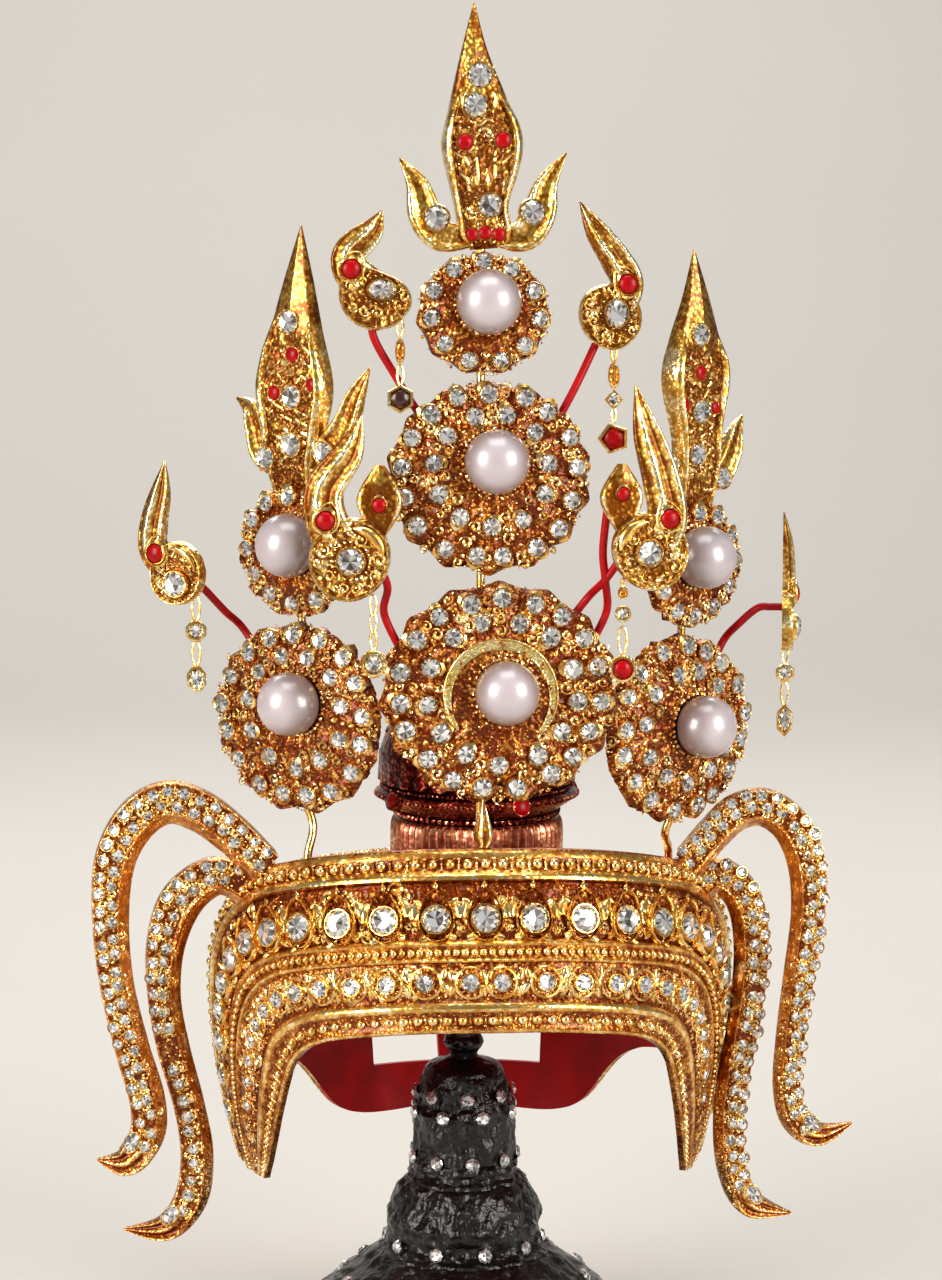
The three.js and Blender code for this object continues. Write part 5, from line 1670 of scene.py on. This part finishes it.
def arm(name, spec):
    """A hooked arm: smooth on its concave side, then rows of stones among scrolls and granules."""
    gold, stones = new_mesh(), new_mesh()
    convex_side = 1 if name.startswith("left") else -1
    rows = [{**row, "depth": ARM["thickness"] * min(1, row["half"] / 5)} for row in spec["line"]]
    last = len(rows) - 1

    # The concave side's wall takes the deep orange of painted reflection.
    def wall_of(across, share):
        return 2 if across * convex_side < -0.5 and share < 0.62 else 0

    leaf(gold, rows, lambda across, share: arm_relief(across * convex_side, share),
         lambda across, share: arm_low(across * convex_side, share), 44, 190, material=wall_of)

    def at(station, convex):
        """A point of the front, and the arm's run there."""
        x, height, half, depth = follow(rows, station, "x", "height", "half", "depth")
        run = run_along(rows, station)
        reach = convex * convex_side * half
        rise = arm_relief(convex, station / last) * depth
        return Vector((x + reach * run.y, -rise, height - reach * run.x)), Vector((run.x, 0, run.y))

    for number, row in enumerate(ARM_ROWS[name]):
        stations = [last * mix(row["first"], row["last"], i / 1200) for i in range(1201)]
        start = 0.5 * ARM["pitch"] if number == 1 else 0
        for station in paced(stations, lambda spot: at(spot, row["across"])[0],
                             lambda spot: ARM["pitch"], start):
            here, run = at(station, row["across"])
            middle = at(station, 0)[0]
            across = (at(station, 1)[0] - at(station, -1)[0]).normalized()
            stray = Vector((chance.uniform(-0.55, 0.55), 0.15, chance.uniform(-0.6, 0.6)))
            lean = 0.35 if row["across"] > 0.5 else 0.05
            place = seat(here + stray, FRONT + across * lean, run)
            set_stone(gold, stones, place, ARM["stone"] * chance.uniform(0.88, 1.1))
            # Bright scrolls and leaves fill the gaps between the stones.
            for _ in range(COUNTS["flecks_per_arm_stone"]):
                turn_by = chance.uniform(0, FULL)
                fleck = place_at(place, 3.1 * math.sin(turn_by), 3.1 * math.cos(turn_by),
                                 chance.uniform(1.3, 2.0), chance.uniform(0, FULL), 0.1)
                aside = across.dot(fleck.translation - middle)
                if abs(aside) < FLECKS_TO * follow(rows, station, "half")[0]:
                    stamp(gold, chance.choice((leaflet, volute)), fleck)
            if name == "left_inner" and row["first"] > 0.5:
                curl = seat(at(station, -0.25)[0], FRONT, run)
                stamp(gold, volute, curl @ Matrix.Diagonal((1.7, 2.6, 1.9, 1)))
    for _ in range(COUNTS["arm_grains"]):
        station = last * chance.uniform(0.03, ARM["hook_from"])
        convex = chance.uniform(-0.36, 0.84)
        if station / last > 0.55:
            convex = chance.uniform(-0.85, 0.84)
        dot(gold, at(station, convex)[0], chance.uniform(0.35, 0.75))
    big, run = at(last * (ARM["hook_from"] - 0.01), 0.62)
    place = seat(big, FRONT - 0.3 * convex_side * Vector((1, 0, 0)), run)
    set_stone(gold, stones, place @ Matrix.Diagonal((0.8, 1.25, 1, 1)), 3.3)
    for bm in (gold, stones):
        bm.transform(Matrix.Translation((0, spec["y"] + ARM["thickness"] / 2, 0)))
        let_into_wall(bm)
    piece(f"side_arm_{name}", gold, [cast_gilt, bright_gilt, reflection_wall_gilt], "gilt_metal",
          f"arm_{name}")
    crystals(f"side_arm_crystals_{name}", stones)


for name, spec in ARMS.items():
    arm(name, spec)


# ---------------------------------------------------------------- trembling ornaments

LOBE_TOP = 4.0
LOBE_FIELD = 26  # rows of the chased field, from the middle out
RELIEF = 1.1  # height of the chased ridges
NECK_STONE_LIFT = 3.9


def flattened(spec, angle):
    """What is left of the lobe's radius at an angle: it is flat on one side."""
    flat_angle, flat = spec["flat"]
    return 1 - flat * max(0, math.cos(angle - math.radians(flat_angle))) ** 1.6


def lobe(bm, spec):
    """A rounded lobe, flattened on one side: a slim raised border round a chased field."""
    top, radius, seed = LOBE_TOP, spec["radius"], spec["at"][2]
    gem_x, gem_z = spec["gem"][:2]
    outline = [(row / LOBE_FIELD * 0.87, top - 1.0) for row in range(LOBE_FIELD + 1)]
    outline += [(0.89, top - 0.7), (0.92, top), (0.95, top), (0.98, top - 0.8),
                (1, top - 1.9), (1, 0.15), (0.5, 0.15), (0, 0.15)]
    steps = len(outline) - 1

    def spot(a, t):
        away = radius * outline[round(t * steps)][0] * flattened(spec, FULL * a)
        return away * math.sin(FULL * a), away * math.cos(FULL * a)

    def in_field(t):
        return round(t * steps) <= LOBE_FIELD

    def ridge(a, t):
        x, z = spot(a, t)
        if in_field(t) and math.hypot(x - gem_x, z - gem_z) >= 1.15 * GEM["white"]:
            return chasing(x, z, seed)
        return 0

    def place(a, t):
        x, z = spot(a, t)
        return Vector((x, -outline[round(t * steps)][1] - RELIEF * ridge(a, t), z))

    # The chased field is painted shade, lighter on its ridges, and the border is painted light.
    skin(bm, 128, steps, place, 0, lambda a, t: 0.9 - 1.25 * ridge(a, t) if in_field(t) else 0.1)


def crest_arc(bm, spec):
    """A smooth bright swelling that runs along part of the lobe's border."""
    first, last = spec["crest"]
    radius = 0.76 * spec["radius"]
    line = []
    for i in range(25):
        angle = math.radians(mix(first, last, i / 24))
        line.append(Vector((radius * math.sin(angle), -LOBE_TOP + 0.5, radius * math.cos(angle))))
    sweep(bm, line, lambda t: 0.17 * radius * math.sin(math.pi * mix(0.04, 0.96, t)) ** 0.8, 10,
          side=FRONT, squash=0.8, material=1)


def set_red(gold, red, place, radius):
    """Sets a red cabochon in a pointed cup."""
    stamp(gold, cup, place @ Matrix.Scale(radius, 4))
    stamp(red, cabochon, place @ Matrix.Scale(radius, 4))


def kanok_flames(gold, red, spec):
    """The flame that winds up from the lobe's neck, and a small second one with a red stone."""
    radius, neck, tip = spec["radius"], spec["neck"], spec["tip"]

    def reach(share, aside):
        return mix(neck[0], tip[0], share) + aside, mix(neck[1], tip[1], share)

    flame = table(
        LEAF_COLUMNS,
        (0.3 * neck[0], 0.1 * radius, 0.6 * radius, 2.4),
        (*neck, 0.5 * radius, 4.2),
        (*reach(0.3, spec["bulge"]), 0.46 * radius, 4.5),
        (*reach(0.65, 0), 0.34 * radius, 3.4),
        (*tip, 0.3, 0.4),
    )
    leaf(gold, flame, grooved, grooved_low, 36, 60)
    if "second" in spec:
        x, height, half = spec["second"]
        rows = table(LEAF_COLUMNS, (x, height - 1.5 * half, 0.3 * half, 2), (x, height, half, 2.6),
                     (x, height + 1.5 * half, 0.2 * half, 2))
        leaf(gold, rows, framed, framed_low, 28, 36, back=0.1)
        place = seat(Vector((x, -2.2, height + (0.15 if x < 0 else -0.2) * half)), FRONT, UP)
        set_red(gold, red, place, 0.32 * half)


def kanok_flecks(gold, spec):
    """Bright flecks of the chased field, clear of the stone."""
    gem_x, gem_z = spec["gem"][:2]
    for k in range(COUNTS["lobe_flecks"]):
        angle = FULL * (k + chance.uniform(-0.3, 0.3)) / COUNTS["lobe_flecks"]
        away = spec["radius"] * chance.uniform(0.52, 0.8) * flattened(spec, angle)
        x, z = away * math.sin(angle), away * math.cos(angle)
        if math.hypot(x - gem_x, z - gem_z) > 1.3 * GEM["white"]:
            fleck = seat(Vector((x, -LOBE_TOP + 0.8, z)), FRONT, UP, chance.uniform(1.7, 2.6),
                         chance.uniform(0, FULL))
            stamp(gold, chance.choice((leaflet, volute)), fleck)


def kanok_wires(name, holder):
    """The red wire from an ornament's back to its tower's back. The front right one has two."""
    wire = WIRES[name]
    first = behind(holder, wire["start"], 0 if "stub" in wire else WIRE_RADIUS)
    stub = [behind(holder, wire["start"], wire["stub"])] if "stub" in wire else []
    end = behind(holders[wire["tower"]], wire["end"], WIRE_RADIUS)
    lines = [[first] + stub + wire["route"] + [end]]
    if name == "front_right":
        lines.append([behind(holder, CROSSED_WIRE["start"], WIRE_RADIUS)] + CROSSED_WIRE["route"]
                     + [behind(holders["centre"], CROSSED_WIRE["end"], WIRE_RADIUS)])
    bm = new_mesh()
    for line in lines:
        sweep(bm, smooth_path(line, 48), WIRE_RADIUS, 14)
    piece(f"red_wire_{name}", bm, [red_lacquer], "red_wire", f"wire_{name}")


def kanok(name, spec):
    """A trembling ornament: a lobe with a clear stone, flames, a red stone and its wire."""
    gold, white, red = new_mesh(), new_mesh(), new_mesh()
    lobe(gold, spec)
    if "crest" in spec:
        crest_arc(gold, spec)
    kanok_flames(gold, red, spec)
    gem_x, gem_z, wide, high = spec["gem"]
    middle = seat(Vector((gem_x, -LOBE_TOP + 0.3, gem_z)), FRONT, UP, 0.93 * GEM["white"])
    middle = middle @ Matrix.Diagonal((wide, high, 1, 1))
    stamp(gold, bezel, middle)
    stamp(white, fine_brilliant, middle)
    for x, y in circle(20, 1.38):
        dot(gold, middle @ Vector((x, y, -0.05)), 0.62 if "second" in spec else 0.4)
    kanok_flecks(gold, spec)
    neck, tip = spec["neck"], spec["tip"]
    red_x, red_z = spec.get("red", neck)
    toward = Vector((tip[0] - neck[0], 0, tip[1] - neck[1]))
    place = seat(Vector((red_x, -NECK_STONE_LIFT, red_z)), FRONT, toward)
    stamp(gold, teardrop, place @ Matrix.Scale(GEM["red"], 4))
    set_red(gold, red, place, GEM["red"])
    holder = turned_frame(*spec["at"], spec["turn"])
    for bm in (gold, white, red):
        bm.transform(holder)
    piece(f"ornament_{name}", gold, [leaf_gilt, bright_gilt], "gilt_metal", f"kanok_{name}")
    crystals(f"ornament_crystal_{name}", white, f"white_stone_{name}")
    reds(f"ornament_red_{name}", red, f"red_stone_{name}")
    kanok_wires(name, holder)


for name, spec in KANOKS.items():
    kanok(name, spec)

# Each drop from the top down. Links are given by top and foot; settings by height, half width, how
# tall they are for their width, number of sides and glass.
DROPS = {
    "upper_left": {"at": (-27.6, -62.4), "links": [(393, 386), (376.5, 369.5)], "settings": [
        (381.2, 1.7, 2.6, 24, "amber"), (365, 5, 1, 6, "garnet")]},
    "upper_right": {"at": (46, -61.3), "links": [(383.5, 377.5), (361.5, 356.5)], "settings": [
        (372.7, 2.0, 2.3, 24, "amber"), (364.4, 3.2, 1.15, 4, "clear"), (351, 5.6, 1, 5, "red")]},
    "far_left": {"at": (-98.6, -38.4), "links": [(295, 286), (279, 270)], "settings": [
        (282.5, 3.9, 1, 8, "clear"), (265.5, 3.6, 1.35, 8, "clear")]},
    "far_right": {"at": (111.6, -30.2), "links": [(275, 268), (261.5, 253)], "settings": [
        (264.8, 3.5, 1, 8, "clear"), (247.6, 3.2, 1.8, 6, "clear")]},
    "front_left": {"at": (-37.6, -77.4), "links": [(299, 292), (293, 286), (287, 280)],
                   "settings": [(275.4, 4.6, 1, 20, "clear")]},
    "front_right": {"at": (47.8, -77.4), "links": [(304, 301), (287.5, 278)], "settings": [
        (299.2, 1.8, 1.2, 16, "amber"), (292, 2.8, 1, 16, "clear"), (273, 4.7, 1, 20, "red")]},
}
DROP_GLASS = {"clear": ("clear_crystal", crystal), "amber": ("red_glass", amber_glass),
              "garnet": ("red_glass", garnet_glass), "red": ("red_glass", red_glass)}
SMOOTH_GLASS = ("red", "garnet")


# A setting's section, in its own half width: flat back, round side, raised rim and sunk floor.
SETTING = [(0, -0.3), (0.9, -0.3), (1, -0.16), (1.02, 0.18), (0.94, 0.32), (0.8, 0.34), (0.72, 0.2),
           (0.7, 0.02), (0, 0.02)]


def hanging_setting(gold, place, sides):
    """A setting turned with few or many sides. With four it stands on a corner."""
    turned = bmesh.new()
    turn(turned, SETTING, sides)
    shape = pattern("setting", turned, 40, 1)
    stamp(gold, shape, place @ Matrix.Rotation(FULL / sides / (1 if sides == 4 else 2), 4, "Z"))
    bpy.data.meshes.remove(shape)


def drop(name, spec):
    """What hangs from an ornament: wire links and small settings, one below another."""
    gold = new_mesh()
    glass = {}
    x, y = spec["at"]
    for top, foot in spec["links"]:
        middle, half = Vector((x, y, (top + foot) / 2)), (top - foot) / 2
        ring = [middle + Vector((0.3 * half * aside, 0, half * up)) for aside, up in circle(20)]
        sweep(gold, ring, 0.45, 8, closed=True, side=FRONT, material=1)
    for height, half, tall, sides, kind in spec["settings"]:
        size = Matrix.Diagonal((half, half * tall, half, 1))
        place = seat(Vector((x, y, height)), FRONT, UP) @ size
        hanging_setting(gold, place, sides)
        stone = cabochon if kind in SMOOTH_GLASS else fine_brilliant
        sunk = Matrix.Translation((0, 0, -0.15))
        stamp(glass.setdefault(kind, new_mesh()), stone, place @ Matrix.Scale(0.7, 4) @ sunk)
        if sides > 12 and half > 3:
            for aside, up in circle(18, 0.98):
                dot(gold, place @ Vector((aside, up, 0.2)), 0.5)
    piece(f"hanging_{name}", gold, [cast_gilt, bright_gilt], "gilt_metal", f"drop_{name}")
    for kind, bm in glass.items():
        slot, finish = DROP_GLASS[kind]
        smooth = kind in SMOOTH_GLASS
        piece(f"hanging_{kind}_{name}", bm, [finish], slot, crisp=70 if smooth else 0,
              facets=not smooth)


for name, spec in DROPS.items():
    drop(name, spec)


# ---------------------------------------------------------------- rods and stand


def support_rod(name, rod):
    """A rod that climbs from the lid to its tower and up behind it, with three rings."""
    bm = new_mesh()
    x, y = rod["foot"]
    share = math.hypot(x / LID_RADIUS, y / (BAND["half_depth"] + LID_GROW))
    top, end = rod["top"]
    climb = [behind(holders[name], (top, mix(rod["straight_from"], end, rise)),
                    CLEARANCE + ROD_RADIUS) for rise in (0, 0.15, 1)]
    path = [(x, y, lid_height(share) + 2 * CLEARANCE)] + rod["route"] + climb
    sweep(bm, smooth_path(path, 60), ROD_RADIUS, 16)
    for rise in (0.2, 0.5, 0.8):
        middle = climb[1].lerp(climb[2], rise)
        ring = [middle + Vector((ahead, aside, 0)) for aside, ahead in circle(16, 1.7)]
        sweep(bm, ring, 0.5, 6, closed=True, side=UP)
    piece(f"support_rod_{name}", bm, [bright_gilt], "gilt_metal", f"rod_{name}")


for name, rod in RODS.items():
    support_rod(name, rod)

STAND = table(
    "radius height",
    (0, 0), (71, 0), (72, 1), (72, 7.5), (71.4, 8.6), (70, 9), (68.6, 9.2), (68.4, 10),
    (68.8, 11), (68.2, 12.6), (66, 14), (64.4, 15), (62.6, 18), (60.6, 21.6), (58.6, 25),
    (55.4, 28.6), (51.2, 31.8), (49.8, 32.6), (49.6, 33.6), (47.6, 34.8), (44.6, 36.6),
    (40.6, 39.8), (36.8, 43), (33.8, 45.4), (32.6, 46.2), (32.4, 47.2), (30.6, 48), (29.2, 50),
    (28.9, 53), (29.4, 56.4), (29.9, 58.4), (29.4, 60.4), (27.6, 64.6), (25.2, 69.8), (23.6, 72),
    (22.2, 72.8), (22, 74), (20.8, 75), (20.3, 76.6), (20.9, 78.2), (20.3, 79.8), (19.6, 81),
    (19.5, 90), (19.4, 97.4), (19.9, 98.8), (19.4, 100.4), (18.6, 102), (17.8, 106), (16, 110.6),
    (14.6, 113.4), (14.2, 114.4), (13.4, 115.4), (12.4, 116.2), (8.6, 117.2), (5.6, 118.4),
    (5, 119.4), (5.4, 120.6), (6.8, 122.4), (7.5, 124), (7, 125.8), (6.2, 127), (6, 128.6),
    (6, 150), (6, 179), (6.6, 181), (9.6, 183.6), (15, 185.4), (17.4, 186), (18, 186.6),
    (18, 188.2), (17.4, 188.7), (0, 188.7),
)
RHINESTONES = table(
    "radius height count first size tilt",
    (18.9, 99.2, 8, -27, 2.7, 0.1), (17.5, 106, 8, 1, 2.6, 0.3), (19.2, 82, 9, 6, 2.7, 0.1),
    (28.7, 50.4, 10, -24, 2.7, 0.2), (45, 36, 14, 2, 2.9, 1.0),
)


DENT_DEPTH = 1.8


def stand():
    """The turned stand, its carved part uneven under the lacquer, with crystals on its rings."""
    wood, stones = new_mesh(), new_mesh()
    last = len(STAND) - 1

    def place(a, t):
        level = min(int(last * t), last - 1)
        radius, height = (mix(STAND[level][key], STAND[level + 1][key], last * t - level)
                          for key in ("radius", "height"))
        out = out_at(FULL * a)
        # The foot, the spindle and the top disc are true.
        carved = ease(10, 16, height) * (1 - ease(108, 114, height))
        spot = out * radius + UP * height
        dent = 0.5 + noise.noise(spot / 6.5) + 0.5 * noise.noise(spot / 2.6)
        return out * max(0, radius - DENT_DEPTH * carved * max(0, dent)) + UP * height

    skin(wood, 220, 4 * last, place)
    for row in RHINESTONES:
        for turn_by in turns(row["count"]):
            out = out_at(turn_by + math.radians(row["first"]))
            spot = out * row["radius"] + UP * row["height"]
            stamp(stones, brilliant, seat(spot, out + UP * row["tilt"], size=row["size"]))
    for bm in (wood, stones):
        bm.transform(Matrix.Translation((STAND_X, 0, 0)))
    piece("turned_stand", wood, [black_lacquer], "black_lacquer", "display_stand", crisp=32)
    crystals("stand_crystals", stones)


stand()


# ---------------------------------------------------------------- stage, light and camera

VIEW = {"azimuth": -3.7, "elevation": 7.0, "distance": 1150, "target": (-2.5, -50, 280),
        "height": 448}
SWEEP = {"half_width": 4000, "front": -2600, "bend": 1700, "bend_radius": 900, "top": 4200}


def studio_paper():
    """Matt pale paper: no gloss, a faint unevenness of tone."""
    finish, tree, place = new_finish("matt_studio_paper")
    tint = add(tree, "Mix", {"data_type": "RGBA", 6: colour("#BEBAB4"), 7: colour("#C4C0BA")},
               {0: clouds(tree, place, 400, 2.0)})
    coat(tree, {"Roughness": 0.9, "Specular IOR Level": 0.2}, {"Base Color": tint.outputs[2]})
    return finish


def backdrop():
    """Pale paper that runs flat under the crown and curves up far behind it."""
    line = [(SWEEP["front"], 0), (-800, 0), (0, 0), (800, 0)]
    for i in range(13):
        angle = math.pi / 2 * i / 12
        line.append((SWEEP["bend"] + SWEEP["bend_radius"] * math.sin(angle),
                     SWEEP["bend_radius"] * (1 - math.cos(angle))))
    line.append((SWEEP["bend"] + SWEEP["bend_radius"], SWEEP["top"]))
    bm = bmesh.new()
    made = bmesh.ops.create_grid(bm, x_segments=1, y_segments=len(line) - 1, size=0.5)["verts"]
    for vert in made:
        y, z = line[round((vert.co.y + 0.5) * (len(line) - 1))]
        vert.co = Vector((2 * SWEEP["half_width"] * vert.co.x, y, z)) * MM
    for face in bm.faces:
        face.smooth = True
    mesh = bpy.data.meshes.new("backdrop")
    bm.to_mesh(mesh)
    bm.free()
    mesh.materials.append(studio_paper())
    paper = bpy.data.objects.new("backdrop", mesh)
    scene.collection.objects.link(paper)


def look(target, azimuth, elevation, distance):
    """Where something stands round the target, and its turn to face it. Azimuth 0 is the front."""
    turn_by, rise = math.radians(azimuth), math.radians(elevation)
    away = Vector((math.sin(turn_by) * math.cos(rise), -math.cos(turn_by) * math.cos(rise),
                   math.sin(rise)))
    place = (Vector(target) + away * distance) * MM
    return Matrix.Translation(place) @ away.to_track_quat("Z", "Y").to_matrix().to_4x4()


def softbox(name, azimuth, elevation, distance, width, height, power, tint, target=VIEW["target"]):
    """A square light that faces its target."""
    light = bpy.data.lights.new(name, "AREA")
    light.shape, light.size, light.size_y = "RECTANGLE", width * MM, height * MM
    light.energy, light.color = power, colour(tint)[:3]
    made = bpy.data.objects.new(name, light)
    made.matrix_world = look(target, azimuth, elevation, distance)
    scene.collection.objects.link(made)


backdrop()
softbox("softbox_left", VIEW["azimuth"] - 50, 14, 1500, 700, 900, 25, "#FFF8F0")
softbox("softbox_right", VIEW["azimuth"] + 52, 14, 1500, 700, 900, 22, "#FFFAF4")
softbox("overhead", 0, 78, 1700, 1300, 900, 14, "#FFFFFF")
softbox("rim_light", 180, 40, 1400, 1200, 600, 8, "#FFFFFF")
softbox("backdrop_wash", 0, 62, 1500, 2400, 600, 30, "#FFFFFF", (0, 2000, 500))

world = bpy.data.worlds.new("studio")
world.use_nodes = True
world.node_tree.nodes["Background"].inputs["Color"].default_value = colour("#D6D3CE")
world.node_tree.nodes["Background"].inputs["Strength"].default_value = 0.36
scene.world = world
scene.view_settings.view_transform = "Standard"

lens = bpy.data.cameras.new("camera")
lens.sensor_fit, lens.sensor_height = "VERTICAL", 36
lens.lens = lens.sensor_height * VIEW["distance"] / VIEW["height"]
lens.clip_end = 20
camera = bpy.data.objects.new("camera", lens)
camera.matrix_world = look(VIEW["target"], VIEW["azimuth"], VIEW["elevation"], VIEW["distance"])
scene.collection.objects.link(camera)
scene.camera = camera

for shape in PATTERNS:
    bpy.data.meshes.remove(shape)
